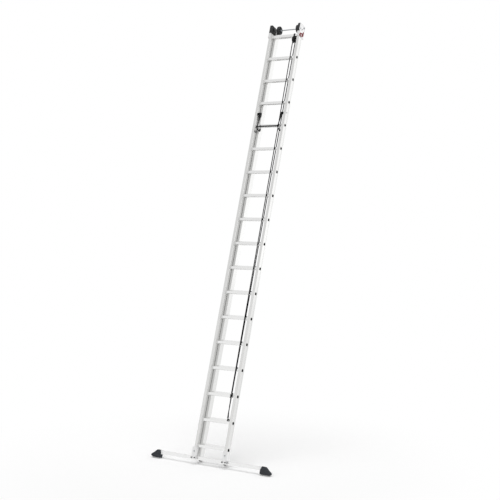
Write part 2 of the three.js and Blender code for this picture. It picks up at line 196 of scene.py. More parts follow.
class Sketch:
    """A mesh in millimetres on the upright ladder, made stroke by stroke with bmesh operators."""

    weld: float = 1e-3  # distance within which corners are joined
    sharp_from: float = 0.6  # angle in radians from which an edge counts as sharp

    def __init__(self) -> None:
        """Starts an empty sketch."""
        self.bm: BMesh = bmesh.new()

    @staticmethod
    def round_off(
        part: BMesh,
        geom: Union[list[BMEdge], list[BMVert]],
        radius: float,
        segments: int,
        affect: str,
    ) -> None:
        """Rounds edges or corners of a stroke.

        Args:
            part: The stroke.
            geom: The edges or the corners.
            radius: Their radius.
            segments: Number of facets across each.
            affect: "EDGES" or "VERTICES".
        """
        bmesh.ops.bevel(
            part,
            geom=geom,
            offset=radius,
            offset_type="OFFSET",
            segments=segments,
            profile=0.5,
            affect=affect,
            material=-1,
            clamp_overlap=True,
        )

    def absorb(self, part: BMesh, soften: float = 0.0) -> "Sketch":
        """Adds a closed stroke, its sharp edges softened.

        Args:
            part: The stroke, freed here.
            soften: Radius given to its sharp edges.

        Returns:
            The sketch itself.
        """
        bmesh.ops.remove_doubles(part, verts=part.verts, dist=self.weld)
        if soften > 0.0:
            sharp = [
                edge
                for edge in part.edges
                if edge.is_manifold and edge.calc_face_angle(0.0) > self.sharp_from
            ]
            self.round_off(part, sharp, soften, 2, "EDGES")
        bmesh.ops.recalc_face_normals(part, faces=part.faces)
        mesh = bpy.data.meshes.new("stroke")
        part.to_mesh(mesh)
        part.free()
        self.bm.from_mesh(mesh)
        bpy.data.meshes.remove(mesh)
        return self

    def outline(self, part: BMesh, points: Iterable[Vector], corner: float) -> BMFace:
        """Draws a flat face with rounded corners.

        Args:
            part: The stroke it is drawn in.
            points: Its corners in order.
            corner: Radius of every corner.

        Returns:
            The face.
        """
        verts = [part.verts.new(p) for p in points]
        part.faces.new(verts)
        if corner > 0.0:
            self.round_off(part, verts, corner, 4, "VERTICES")
        part.faces.ensure_lookup_table()
        return part.faces[0]

    @staticmethod
    def draw_out(part: BMesh, along: Vector) -> None:
        """Extrudes every face of a flat stroke into a closed solid.

        Args:
            part: The stroke.
            along: Direction and length of the extrusion.
        """
        made = bmesh.ops.extrude_face_region(part, geom=list(part.faces))
        moved = [g for g in made["geom"] if isinstance(g, BMVert)]
        bmesh.ops.translate(part, verts=moved, vec=along)

    def prism(
        self,
        points: Iterable[Vector],
        along: Vector,
        corner: float = 0.0,
        soften: float = 0.6,
    ) -> "Sketch":
        """Adds a flat outline extruded to a solid.

        Args:
            points: The outline's corners in order.
            along: Direction and length of the extrusion.
            corner: Radius of the outline's corners.
            soften: Radius of the solid's sharp edges.

        Returns:
            The sketch itself.
        """
        part = bmesh.new()
        self.outline(part, points, corner)
        self.draw_out(part, along)
        return self.absorb(part, soften)

    def tube(
        self,
        points: Iterable[Vector],
        wall: float,
        along: Vector,
        corner: float = 0.0,
    ) -> "Sketch":
        """Adds a hollow extrusion with an even wall and open ends.

        Args:
            points: The outer outline's corners in order.
            wall: Thickness of the wall.
            along: Direction and length of the extrusion.
            corner: Radius of the outer corners.

        Returns:
            The sketch itself.
        """
        part = bmesh.new()
        face = self.outline(part, points, corner)
        bmesh.ops.inset_region(
            part, faces=[face], thickness=wall, use_boundary=True, use_even_offset=True
        )
        bmesh.ops.delete(part, geom=[face], context="FACES_ONLY")
        self.draw_out(part, along)
        return self.absorb(part)

    def hollow(self, outer: Iterable[Vector], bore: Iterable[Vector], along: Vector) -> "Sketch":
        """Adds an open-ended extrusion whose bore has an outline of its own.

        Args:
            outer: The outer outline's corners in order.
            bore: The bore's corners in order.
            along: Direction and length of the extrusion.

        Returns:
            The sketch itself.
        """
        part = bmesh.new()
        for loop in (outer, bore):
            verts = [part.verts.new(p) for p in loop]
            for i, v in enumerate(verts):
                part.edges.new((verts[i - 1], v))
        bmesh.ops.triangle_fill(part, edges=part.edges, use_beauty=True)
        self.draw_out(part, along)
        return self.absorb(part)

    def box(self, low: Point3, high: Point3, soften: float = 0.6) -> "Sketch":
        """Adds a block between two corners.

        Args:
            low: Its lowest corner.
            high: Its highest corner.
            soften: Radius of its edges.

        Returns:
            The sketch itself.
        """
        lo, hi = Vector(low), Vector(high)
        part = bmesh.new()
        place = Matrix.Translation((lo + hi) / 2) @ Matrix.Diagonal((hi - lo).to_4d())
        bmesh.ops.create_cube(part, size=1.0, matrix=place)
        return self.absorb(part, soften)

    def rod(
        self,
        start: Vector,
        end: Vector,
        radius: float,
        sides: int = 24,
        soften: float = 0.5,
        end_radius: Union[float, None] = None,
    ) -> "Sketch":
        """Adds a round or many-sided bar between two points.

        Args:
            start: Centre of its first end.
            end: Centre of its second end.
            radius: Its radius, across the corners if it has few sides.
            sides: Number of its sides.
            soften: Radius of its end edges.
            end_radius: Radius at the second end where it tapers.

        Returns:
            The sketch itself.
        """
        axis = end - start
        turn = UP.rotation_difference(axis.normalized()).to_matrix().to_4x4()
        part = bmesh.new()
        bmesh.ops.create_cone(
            part,
            cap_ends=True,
            segments=sides,
            radius1=radius,
            radius2=radius if end_radius is None else end_radius,
            depth=axis.length,
            matrix=Matrix.Translation((start + end) / 2) @ turn,
        )
        return self.absorb(part, soften)

    def turned(self, profile: Sequence[Point2], centre: Vector, steps: int) -> "Sketch":
        """Adds a closed profile spun about an axle that runs across the ladder.

        Args:
            profile: Its corners as (radius, distance along the axle).
            centre: Where the axle's zero lies.
            steps: Number of facets round it.

        Returns:
            The sketch itself.
        """
        part = bmesh.new()
        verts = [part.verts.new(centre + ACROSS * along + UP * radius) for radius, along in profile]
        edges = [part.edges.new((v, verts[i - 1])) for i, v in enumerate(verts)]
        bmesh.ops.spin(
            part,
            geom=verts + edges,
            cent=centre,
            axis=ACROSS,
            angle=2 * math.pi,
            steps=steps,
            use_merge=True,
        )
        return self.absorb(part)

    def on(self, side: Side) -> "Sketch":
        """Mirrors a sketch drawn on the right if the other side is asked for.

        Args:
            side: The side it belongs on.

        Returns:
            The sketch itself.
        """
        if side is Side.LEFT:
            bmesh.ops.scale(self.bm, vec=(-1.0, 1.0, 1.0), verts=self.bm.verts)
            bmesh.ops.reverse_faces(self.bm, faces=self.bm.faces)
        return self


@dataclass(frozen=True)
class Bolt:
    """A washer that stands on a face, and the bolt's head on it."""

    washer: float  # radius
    washer_top: float  # height above the face
    head: float  # radius, across the corners
    head_top: float  # height above the face
    sunk: float = 0.5  # how far the washer starts below the face
    lap: float = 0.2  # how far the head starts inside the washer
    washer_sides: int = 24
    washer_soften: float = 0.3
    head_soften: float = 0.6
    head_sides: int = 6

    def draw(self, sketch: Sketch, at: Vector, out: Vector) -> Sketch:
        """Adds the bolt to a sketch.

        Args:
            sketch: The sketch that it is added to.
            at: Its middle on the face.
            out: The face's normal.

        Returns:
            The sketch.
        """
        sketch.rod(
            at - out * self.sunk,
            at + out * self.washer_top,
            self.washer,
            self.washer_sides,
            self.washer_soften,
        )
        return sketch.rod(
            at + out * (self.washer_top - self.lap),
            at + out * self.head_top,
            self.head,
            self.head_sides,
            self.head_soften,
        )


@dataclass(frozen=True)
class LaidRope:
    """Rope of three strands twisted together, drawn as one ridged tube along a route."""

    radius: float = 5.3
    lay: float = 34.0  # length of one full twist
    step: float = 4.0  # between rings
    sides: int = 12
    ridge: float = 0.1  # depth of the grooves between strands, as a share of the radius

    def frames(self, route: Sequence[Vector]) -> list[Matrix]:
        """Works out a frame at each point of the route, turned no more than the route bends.

        Args:
            route: Points that the rope's centre passes through.

        Returns:
            One matrix a point, whose z column follows the rope.
        """
        ahead = [(b - a).normalized() for a, b in zip(route, route[1:])]
        tangents = [ahead[0]]
        tangents += [(a + b).normalized() for a, b in zip(ahead, ahead[1:])]
        tangents.append(ahead[-1])
        turn = UP.rotation_difference(tangents[0]).to_matrix()
        made = []
        for before, tangent, point in zip([tangents[0]] + tangents, tangents, route):
            turn = before.rotation_difference(tangent).to_matrix() @ turn
            made.append(Matrix.Translation(point) @ turn.to_4x4())
        return made

    def draw(self, sketch: Sketch, route: Sequence[Vector]) -> float:
        """Adds the rope to a sketch.

        Args:
            sketch: The sketch that it is added to.
            route: Points that its centre passes through.

        Returns:
            Its length in millimetres.
        """
        frames = self.frames(route)
        stations = [0.0]
        for a, b in zip(route, route[1:]):
            stations.append(stations[-1] + (b - a).length)
        length = stations[-1]
        steps = max(2, round(length / self.step))
        part = bmesh.new()
        bmesh.ops.create_circle(part, radius=self.radius, segments=self.sides)
        for v in part.verts:
            lobe = abs(math.cos(1.5 * math.atan2(v.co.y, v.co.x)))
            v.co *= 1 - self.ridge * (1 - lobe)
        bmesh.ops.spin(
            part,
            geom=list(part.verts) + list(part.edges),
            cent=(0.0, 0.0, 0.0),
            axis=UP,
            dvec=UP * (length / steps),
            angle=2 * math.pi * length / self.lay,
            steps=steps,
        )
        bmesh.ops.holes_fill(part, edges=part.edges)
        for v in part.verts:
            along = min(max(v.co.z, 0.0), length)
            i = 0
            while i < len(stations) - 2 and stations[i + 1] < along:
                i += 1
            share = (along - stations[i]) / (stations[i + 1] - stations[i])
            flat = Vector((v.co.x, v.co.y, 0.0))
            v.co = (frames[i] @ flat).lerp(frames[i + 1] @ flat, share)
        sketch.absorb(part)
        return length


# ---------------------------------------------------------------- finishes


def linear(hex_colour: str) -> tuple[float, float, float, float]:
    """Turns an sRGB hex colour to the linear values that shaders take.

    Args:
        hex_colour: The colour, as "#rrggbb".

    Returns:
        Linear red, green, blue and an alpha of 1.
    """
    channels = [int(hex_colour[i : i + 2], 16) / 255 for i in (1, 3, 5)]
    red, green, blue = (
        c / 12.92 if c <= 0.04045 else ((c + 0.055) / 1.055) ** 2.4 for c in channels
    )
    return red, green, blue, 1.0


class Wiring:
    """The node tree of a material or a world, wired up anew."""

    white: tuple[float, ...] = (1.0, 1.0, 1.0, 1.0)

    def __init__(self, owner: Union[bpy.types.Material, bpy.types.World]) -> None:
        """Empties the owner's node tree.

        Args:
            owner: The material or world.
        """
        owner.use_nodes = True
        self.tree: bpy.types.NodeTree = owner.node_tree
        self.tree.nodes.clear()

    def add(
        self,
        kind: str,
        inputs: Union[dict[Union[str, int], SocketValue], None] = None,
        **settings: object,
    ) -> bpy.types.Node:
        """Adds one node with its settings and links.

        Args:
            kind: Its type, such as "ShaderNodeBump".
            inputs: A constant or another node's output for each input named.
            **settings: Its own properties.

        Returns:
            The node.
        """
        made = self.tree.nodes.new(kind)
        for name, value in settings.items():
            setattr(made, name, value)
        for name, value in (inputs or {}).items():
            if isinstance(value, Socket):
                self.tree.links.new(value, made.inputs[name])
            else:
                made.inputs[name].default_value = value
        return made

    def place(self) -> Socket:
        """Gives the place on the object."""
        return self.add("ShaderNodeTexCoord").outputs["Object"]

    def upright(self, lean: float, scale: Point3 = (1.0, 1.0, 1.0)) -> Socket:
        """Gives the place on the object, turned upright with the ladder.

        Args:
            lean: The ladder's lean in radians.
            scale: Share by which each axis counts.

        Returns:
            The turned coordinate.
        """
        turned = self.add(
            "ShaderNodeMapping",
            {"Vector": self.place(), "Rotation": (lean, 0.0, 0.0), "Scale": scale},
        )
        return turned.outputs["Vector"]

    def noise(self, where: Socket, size_mm: float, detail: float) -> Socket:
        """Adds a soft noise."""
        inputs = {"Vector": where, "Scale": 1 / (size_mm * MM), "Detail": detail}
        return self.add("ShaderNodeTexNoise", inputs).outputs["Fac"]

    def remap(
        self,
        value: Socket,
        source: Point2,
        target: tuple[SocketValue, SocketValue] = (0.0, 1.0),
        smooth: bool = False,
    ) -> Socket:
        """Maps one range to another, and holds what lies past its ends.

        Args:
            value: What is mapped.
            source: The range it is mapped from.
            target: The range it is mapped to.
            smooth: Whether the range's ends are eased.

        Returns:
            The mapped value.
        """
        mapped = self.add(
            "ShaderNodeMapRange",
            {
                "Value": value,
                "From Min": source[0],
                "From Max": source[1],
                "To Min": target[0],
                "To Max": target[1],
            },
            interpolation_type="SMOOTHSTEP" if smooth else "LINEAR",
        )
        return mapped.outputs["Result"]

    def blend(self, share: Socket, first: SocketValue, second: SocketValue) -> Socket:
        """Mixes two colours."""
        mixed = self.add("ShaderNodeMix", {0: share, 6: first, 7: second}, data_type="RGBA")
        return mixed.outputs[2]

    def product(self, first: SocketValue, second: SocketValue) -> Socket:
        """Multiplies two values."""
        inputs = {0: first, 1: second}
        return self.add("ShaderNodeMath", inputs, operation="MULTIPLY").outputs["Value"]

    def between(self, first: SocketValue, second: SocketValue, operation: str) -> Socket:
        """Measures two vectors against each other, by "DISTANCE" or "DOT_PRODUCT"."""
        inputs = {0: first, 1: second}
        return self.add("ShaderNodeVectorMath", inputs, operation=operation).outputs["Value"]

    def glow(self, strength: SocketValue) -> Socket:
        """Adds a white glow."""
        inputs = {"Color": self.white, "Strength": strength}
        return self.add("ShaderNodeEmission", inputs).outputs["Emission"]

    def swap(self, share: Socket, first: Socket, second: Socket) -> Socket:
        """Mixes two shaders."""
        return self.add("ShaderNodeMixShader", {0: share, 1: first, 2: second}).outputs["Shader"]

    def skin(
        self,
        colour: Socket,
        roughness: SocketValue,
        metallic: float,
        specular: float,
        height: Socket,
        depth_mm: float,
    ) -> None:
        """Ends a material in a bumped surface.

        Args:
            colour: Its colour.
            roughness: Its roughness.
            metallic: How far it is metal.
            specular: How strongly a surface that is no metal mirrors.
            height: The height of its grain, from 0 to 1.
            depth_mm: The depth of that grain.
        """
        bump = self.add(
            "ShaderNodeBump", {"Height": height, "Distance": depth_mm * MM, "Strength": 1.0}
        )
        shader = self.add(
            "ShaderNodeBsdfPrincipled",
            {
                "Base Color": colour,
                "Roughness": roughness,
                "Metallic": metallic,
                "Specular IOR Level": specular,
                "Normal": bump.outputs["Normal"],
            },
        )
        self.add("ShaderNodeOutputMaterial", {"Surface": shader.outputs["BSDF"]})


@dataclass(frozen=True)
class Finish:
    """A solid surface: slow patches of a second tint, and a fine grain that bumps it."""

    name: str
    tint: str
    patch_tint: str
    roughness: float
    metallic: float = 0.0
    specular: float = 0.5
    patch_mm: float = 120.0
    grain_mm: float = 1.0
    grain_run: Grain = Grain.NONE
    grain_stretch: float = 40.0
    grain_height_mm: float = 0.04
    roughness_spread: float = 0.04
    edge_wear_and_highlight_tint: Union[str, None] = None
    edge_mm: float = 1.2

    def build(self, lean: float) -> bpy.types.Material:
        """Makes the material.

        Args:
            lean: The ladder's lean in radians, which turns its pattern with it.

        Returns:
            The material.
        """
        material = bpy.data.materials.new(self.name)
        wiring = Wiring(material)
        upright = wiring.upright(lean)
        drawn = tuple(1 / (1 + self.grain_stretch * run) for run in self.grain_run.value)
        stretched = wiring.add("ShaderNodeMapping", {"Vector": upright, "Scale": drawn})
        grain = wiring.noise(stretched.outputs["Vector"], self.grain_mm, 2.0)
        patches = wiring.noise(upright, self.patch_mm, 3.0)
        colour = wiring.blend(patches, linear(self.tint), linear(self.patch_tint))
        # Paler edges: wear on the black steel, painted highlight on the foot rubber.
        if self.edge_wear_and_highlight_tint is not None:
            colour = self.wear_and_edge_highlight(wiring, colour, grain)
        spread = self.roughness_spread
        rough = wiring.remap(
            grain, (0.3, 0.7), (self.roughness - spread, self.roughness + spread)
        )
        wiring.skin(colour, rough, self.metallic, self.specular, grain, self.grain_height_mm)
        return material

    def wear_and_edge_highlight(self, wiring: Wiring, colour: Socket, grain: Socket) -> Socket:
        """Pales the colour along edges, where the rounded normal leaves the flat one: rubbed-off
        coating on the black steel, a painted highlight on the foot rubber.

        Args:
            wiring: The material's wiring.
            colour: The colour that is rubbed through.
            grain: The fine grain, which breaks up the paler edges.

        Returns:
            The colour with paler edges.
        """
        flat = wiring.add("ShaderNodeNewGeometry").outputs["True Normal"]
        rounded = wiring.add("ShaderNodeBevel", {"Radius": self.edge_mm * MM}, samples=4)
        alike = wiring.between(rounded.outputs["Normal"], flat, "DOT_PRODUCT")
        edge = wiring.remap(alike, (0.97, 0.85))
        return wiring.blend(wiring.product(edge, grain), colour, linear(self.edge_wear_and_highlight_tint))


@dataclass(frozen=True)
class RopeFinish:
    """Laid polypropylene yarn: dull dark fibres with paler worn ones among them."""

    name: str = "polypropylene_rope"
    tint: str = "#0E0F10"
    pale: str = "#2A2C2F"
    roughness: float = 0.9
    specular: float = 0.2
    fibre_mm: float = 1.6  # the real fibres are finer than the render shows
    fibre_height_mm: float = 0.4
    stretch: float = 0.35  # share by which the length counts, so that fibres run along

    def build(self, lean: float) -> bpy.types.Material:
        """Makes the material.

        Args:
            lean: The ladder's lean in radians, which turns its pattern with it.

        Returns:
            The material.
        """
        material = bpy.data.materials.new(self.name)
        wiring = Wiring(material)
        where = wiring.upright(lean, (1.0, 1.0, self.stretch))
        fibres = wiring.noise(where, self.fibre_mm, 3.0)
        share = wiring.remap(fibres, (0.45, 0.75))
        colour = wiring.blend(share, linear(self.tint), linear(self.pale))
        wiring.skin(colour, self.roughness, 0.0, self.specular, fibres, self.fibre_height_mm)
        return material


# Mill-finish 6063 aluminium: pale and satin, with faint die lines the way it was drawn. Its tint is
# darker than the rungs' tint of the same metal, as painted shade on the stiles.
STILE_ALUMINIUM = Finish(
    name="extruded_aluminium_along",
    tint="#EAEAE9",
    patch_tint="#E2E2E1",
    roughness=0.24,
    metallic=1.0,
    patch_mm=260.0,
    grain_mm=1.8,
    grain_run=Grain.ALONG,
    grain_height_mm=0.015,
)
# The same aluminium tinted paler than the stiles: painted light on the rungs and the stabiliser
# tube.
RUNG_ALUMINIUM = Finish(
    name="extruded_aluminium_across",
    tint="#F8F8F8",
    patch_tint="#F2F2F1",
    roughness=0.26,
    metallic=1.0,
    patch_mm=90.0,
    grain_mm=1.8,
    grain_run=Grain.ACROSS,
    grain_height_mm=0.015,
)
# Die-cast aluminium: duller than the extrusions, with a fine pebbled skin.
CAST_ALUMINIUM = Finish(
    name="die_cast_aluminium",
    tint="#F3F3F3",
    patch_tint="#EAEAEA",
    roughness=0.40,
    metallic=1.0,
    patch_mm=30.0,
    grain_mm=1.4,
    grain_height_mm=0.08,
)
# Steel pressings under black powder coat, rubbed grey along their edges.
BLACK_STEEL = Finish(
    name="black_powder_coated_steel",
    tint="#121314",
    patch_tint="#1B1C1E",
    roughness=0.6,
    specular=0.3,
    patch_mm=40.0,
    grain_mm=1.2,
    grain_height_mm=0.06,
    edge_wear_and_highlight_tint="#2E3032",
)
# Bright zinc plate on bolts, nuts and the axle.
ZINC_STEEL = Finish(
    name="zinc_plated_steel",
    tint="#B6BABD",
    patch_tint="#9EA3A6",
    roughness=0.32,
    metallic=0.9,
    patch_mm=8.0,
    grain_mm=0.8,
    grain_height_mm=0.02,
)
# Moulded rubber of the feet: dark slate grey, dull, with paler edges and ribs that are a painted
# highlight.
FOOT_RUBBER = Finish(
    name="moulded_foot_rubber",
    tint="#303237",
    patch_tint="#3B3E43",
    roughness=0.7,
    specular=0.35,
    patch_mm=45.0,
    grain_mm=1.6,
    grain_height_mm=0.12,
    edge_wear_and_highlight_tint="#64676C",
    edge_mm=2.0,
)
# Polyurethane tread of the wall wheels.
WHEEL_TREAD = Finish(
    name="polyurethane_tread",
    tint="#191A1B",
    patch_tint="#26282A",
    roughness=0.62,
    patch_mm=25.0,
    grain_mm=1.5,
    grain_height_mm=0.08,
)
# Dark grey nylon of the wheel discs and the sheave.
GREY_NYLON = Finish(
    name="grey_nylon",
    tint="#45484B",
    patch_tint="#393C3F",
    roughness=0.5,
    patch_mm=30.0,
    grain_mm=1.2,
    grain_height_mm=0.015,
)
# Dark red glass-filled nylon of the stile guides.
RED_NYLON = Finish(
    name="red_nylon",
    tint="#86141F",
    patch_tint="#74101A",
    roughness=0.45,
    patch_mm=30.0,
    grain_mm=1.2,
    grain_height_mm=0.04,
)
# Matt black of the caps in the rungs' ends, painted shade for the dark open ends of the rung tubes.
BLACK_CAP_PAINTED_SHADE = Finish(
    name="black_cap_painted_shade",
    tint="#0C0D0E",
    patch_tint="#141516",
    roughness=0.85,
    specular=0.15,
    patch_mm=20.0,
    grain_mm=1.0,
    grain_height_mm=0.05,
)
# Black nylon of the knobs, the stiles' plugs, the head blocks, the lock's sleeve and the cleat.
BLACK_NYLON = Finish(
    name="black_nylon",
    tint="#17191A",
    patch_tint="#232526",
    roughness=0.48,
    patch_mm=20.0,
    grain_mm=1.0,
    grain_height_mm=0.04,
)
POLYPROPYLENE = RopeFinish()

AnyFinish = Union[Finish, RopeFinish]


# ---------------------------------------------------------------- the bench


@dataclass(frozen=True)
class Pair:
    """A piece that is drawn on the climber's right, and its mirror image on the left."""

    name: str  # without the side
    draw: Callable[[], Sketch]
    finish: AnyFinish
    slot: Slot
    body: Union[Body, dict[Side, Body]] = Body.BASE  # what both ride on, or each
    stands_for: Union[str, None] = None  # the nodes that they replace, without the side
    cutter: Union[Callable[[], Sketch], None] = None  # draws what is cut out of them


class Bench:
    """Sets finished sketches on the leaning ladder as pieces that ride on its bodies."""

    smooth_below: float = math.radians(38.0)  # angle up to which shading runs over an edge

    def __init__(self, frame: dict) -> None:
        """Reads the lean and the place of the ladder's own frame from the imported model.
        """
        slide = next(j for j in frame["joints"] if j["name"] == "fly_slide")
        _, sine, cosine = slide["axis"]
        low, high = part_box("base_rung_01")
        self.lean: float = math.atan2(sine, cosine)
        self.origin: Vector = (low + high) / 2
        self.matrix: Matrix = (
            Matrix.Translation(self.origin)
            @ Matrix.Rotation(-self.lean, 4, "X")
            @ Matrix.Scale(MM, 4)
        )
        self.materials: dict[str, bpy.types.Material] = {}

    def floor_at(self, y: float) -> float:
        """Finds how low the floor lies at a depth of the ladder's frame."""
        origin_height = self.origin.z / MM
        return (y * math.sin(self.lean) - origin_height) / math.cos(self.lean)

    def dress(self, finish: AnyFinish) -> bpy.types.Material:
        """Returns the finish's material, made once.

        Args:
            finish: The finish.

        Returns:
            Its material.
        """
        if finish.name not in self.materials:
            self.materials[finish.name] = finish.build(self.lean)
        return self.materials[finish.name]

    def place(
        self,
        sketch: Sketch,
        name: str,
        finish: AnyFinish,
        slot: Slot,
        body: Body = Body.BASE,
        stands_for: Sequence[str] = (),
        cutter: Union[Sketch, None] = None,
    ) -> bpy.types.Object:
        """Makes a sketch a finished piece of the leaning ladder.

        Args:
            sketch: The sketch, freed here.
            name: The piece's name.
            finish: Its finish.
            slot: The record's slot for it; not used.
            body: The body it rides on.
            stands_for: The nodes that it replaces.
            cutter: A sketch whose solids are cut out of it, freed here.

        Returns:
            The piece.
        """
        piece = self.object_of(sketch, name)
        if cutter is not None:
            self.cut(piece, self.object_of(cutter, name + "_cutter"))
        mesh = piece.data
        mesh.transform(self.matrix)
        for polygon in mesh.polygons:
            polygon.use_smooth = True
        mesh.set_sharp_from_angle(angle=self.smooth_below)
        mesh.materials.append(self.dress(finish))
        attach(piece, body.value)
        if stands_for:
            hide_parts(*stands_for)
        log.info("%s: %d faces on %s", name, len(mesh.polygons), body.value)
        return piece

    def place_pairs(self, *pairs: Pair) -> None:
        """Places pairs of pieces, first on the right and then on the left.

        Args:
            *pairs: The pairs.
        """
        for side in Side:
            for pair in pairs:
                self.place(
                    pair.draw().on(side),
                    f"{pair.name}_{side.value}",
                    pair.finish,
                    pair.slot,
                    pair.body if isinstance(pair.body, Body) else pair.body[side],
                    [] if pair.stands_for is None else [f"{pair.stands_for}_{side.value}"],
                    None if pair.cutter is None else pair.cutter().on(side),
                )

    @staticmethod
    def object_of(sketch: Sketch, name: str) -> bpy.types.Object:
        """Turns a sketch into an object, still upright and in millimetres.

        Args:
            sketch: The sketch, freed here.
            name: The object's name.

        Returns:
            The object.
        """
        mesh = bpy.data.meshes.new(name)
        sketch.bm.to_mesh(mesh)
        sketch.bm.free()
        made = bpy.data.objects.new(name, mesh)
        bpy.context.scene.collection.objects.link(made)
        return made

    @staticmethod
    def cut(piece: bpy.types.Object, cutter: bpy.types.Object) -> None:
        """Cuts one object's solids out of another's mesh.

        Args:
            piece: The object that is cut.
            cutter: The object cut out of it, removed here.
        """
        boolean = piece.modifiers.new("cut", "BOOLEAN")
        boolean.operation = "DIFFERENCE"
        boolean.solver = "EXACT"
        boolean.object = cutter
        depsgraph = bpy.context.evaluated_depsgraph_get()
        mesh = bpy.data.meshes.new_from_object(piece.evaluated_get(depsgraph))
        piece.modifiers.clear()
        piece.data = mesh
        bpy.data.objects.remove(cutter)


def across(points: Iterable[Point2], x: float) -> list[Vector]:
    """Places a side view's (y, z) points in the plane at x."""
    return [Vector((x, y, z)) for y, z in points]


def plan(points: Iterable[Point2], z: float) -> list[Vector]:
    """Places a section's (x, y) points in the plane at z."""
    return [Vector((x, y, z)) for x, y in points]


def arc(centre: Point2, radius: float, start: float, end: float, steps: int) -> list[Point2]:
    """Lists the points of an arc between two angles in degrees, both ends included."""
    angles = [math.radians(start + (end - start) * i / steps) for i in range(steps + 1)]
    return [(centre[0] + radius * math.cos(a), centre[1] + radius * math.sin(a)) for a in angles]


def oblong(centre: Point2, half_y: float, half_z: float) -> list[Point2]:
    """Corners of an upright oblong in a side view."""
    y, z = centre
    return [(y + a * half_y, z + b * half_z) for a, b in ((1, 1), (-1, 1), (-1, -1), (1, -1))]


def opposite(profile: Sequence[Point2]) -> list[Point2]:
    """Mirrors the first half of a turned profile, in the order that closes it."""
    return [(radius, -along) for radius, along in reversed(profile)]


# ---------------------------------------------------------------- stiles and rungs


@dataclass(frozen=True)
class Rung:
    """A square rung: an extruded tube with a ribbed tread, swaged to its stiles."""

    half_length: float
    web: float  # half width where its swaged collars meet the stiles
    wall: float = 2.0
    corner: float = 2.0
    ribs: int = 5
    rib: float = 0.9  # depth of the grooves between the ribs
    plain: float = 5.0  # strip without ribs along each edge
    collar: float = 2.0

    def section(self) -> list[Point2]:
        """Draws the outer section, ribbed on top and underneath.

        Returns:
            Its (y, z) corners in order.
        """
        half = LADDER.rung / 2
        ribbed = half - self.plain
        pitch = 2 * ribbed / self.ribs
        top: list[Point2] = []
        for i in range(self.ribs):
            start = ribbed - i * pitch
            top += [
                (start, half),
                (start - 0.3 * pitch, half - self.rib),
                (start - 0.7 * pitch, half - self.rib),
            ]
        top.append((-ribbed, half))
        straight = half - self.corner
        right = [(half, -straight), (half, straight), (straight, half)]
        below, left = ([(-y, -z) for y, z in face] for face in (top, right))
        return right + top + left + below

    def draw(self, y: float, z: float) -> Sketch:
        """Draws the rung.

        Args:
            y: Depth of its centre.
            z: Height of its centre.

        Returns:
            The sketch.
        """
        sketch = Sketch()
        half = LADDER.rung / 2
        outer = [(y + a, z + b) for a, b in self.section()]
        bore = oblong((y, z), half - self.wall, half - self.wall)
        sketch.hollow(
            across(outer, -self.half_length),
            across(bore, -self.half_length),
            ACROSS * (2 * self.half_length),
        )
        swage = oblong((y, z), half + self.collar, half + self.collar)
        for start in (-self.web, self.web - self.collar):
            sketch.tube(across(swage, start), self.collar + 0.5, ACROSS * self.collar, corner=3.0)
        return sketch


@dataclass(frozen=True)
class Flange:
    """The flange of a stile's section, with a fine bead near each of its edges."""

    inner: float
    outer: float
    level: float  # its y
    bead: float  # depth of the beads, below zero where they sink towards the climber
    chamfer: float = 1.5
    beads_from: float = 6.0  # from each edge
    beads_to: float = 8.0

    def points(self) -> list[Point2]:
        """Draws it from its inner edge to its outer one.

        Returns:
            Its (x, y) corners in order.
        """
        middle = (self.beads_from + self.beads_to) / 2
        notch = [
            (self.chamfer, self.level),
            (self.beads_from, self.level),
            (middle, self.level + self.bead),
            (self.beads_to, self.level),
        ]
        near = [(self.inner + x, y) for x, y in notch]
        far = [(self.outer - x, y) for x, y in reversed(notch)]
        return near + far


@dataclass(frozen=True)
class BaseStile:
    """A base stile: a hollow extrusion, channelled outside, with a rib towards the fly."""

    wall: float = 2.0
    chamfer: float = 1.5
    rib_from: float = 29.5
    rib_to: float = 34.5
    rib_reach: float = 4.0
    groove_half: float = 18.0
    bead: float = 0.8  # of the fine beads on the flange that faces the climber

    def section(self) -> list[Point2]:
        """Draws the outer section of the right-hand stile.

        Returns:
            Its (x, y) corners in order.
        """
        inner, outer = LADDER.base_inner, LADDER.base_outer
        back = LADDER.stile_depth / 2
        edge = back - self.chamfer
        floor = outer - LADDER.groove
        slope = self.groove_half + LADDER.groove
        rib = inner - self.rib_reach
        return [
            (inner, -edge),
            *Flange(inner, outer, -back, self.bead).points(),
            (outer, -edge),
            (outer, -slope),
            (floor, -self.groove_half),
            (floor, self.groove_half),
            (outer, slope),
            (outer, edge),
            (outer - self.chamfer, back),
            (inner + self.chamfer, back),
            (inner, edge),
            (inner, self.rib_to),
            (rib, self.rib_to),
            (rib, self.rib_from),
            (inner, self.rib_from),
        ]

    def draw(self) -> Sketch:
        """Draws the right-hand stile.

        Returns:
            The sketch.
        """
        back = LADDER.stile_depth / 2 - self.wall
        slope = self.groove_half + LADDER.groove + 1
        inner, outer = LADDER.base_inner + self.wall, LADDER.base_outer - self.wall
        floor = outer - LADDER.groove
        bore = [
            (inner, -back),
            (outer, -back),
            (outer, -slope),
            (floor, -slope + 2),
            (floor, slope - 2),
            (outer, slope),
            (outer, back),
            (inner, back),
        ]
        bottom = LADDER.base_bottom
        up = UP * (LADDER.base_top - bottom)
        return Sketch().hollow(plan(self.section(), bottom), plan(bore, bottom), up)


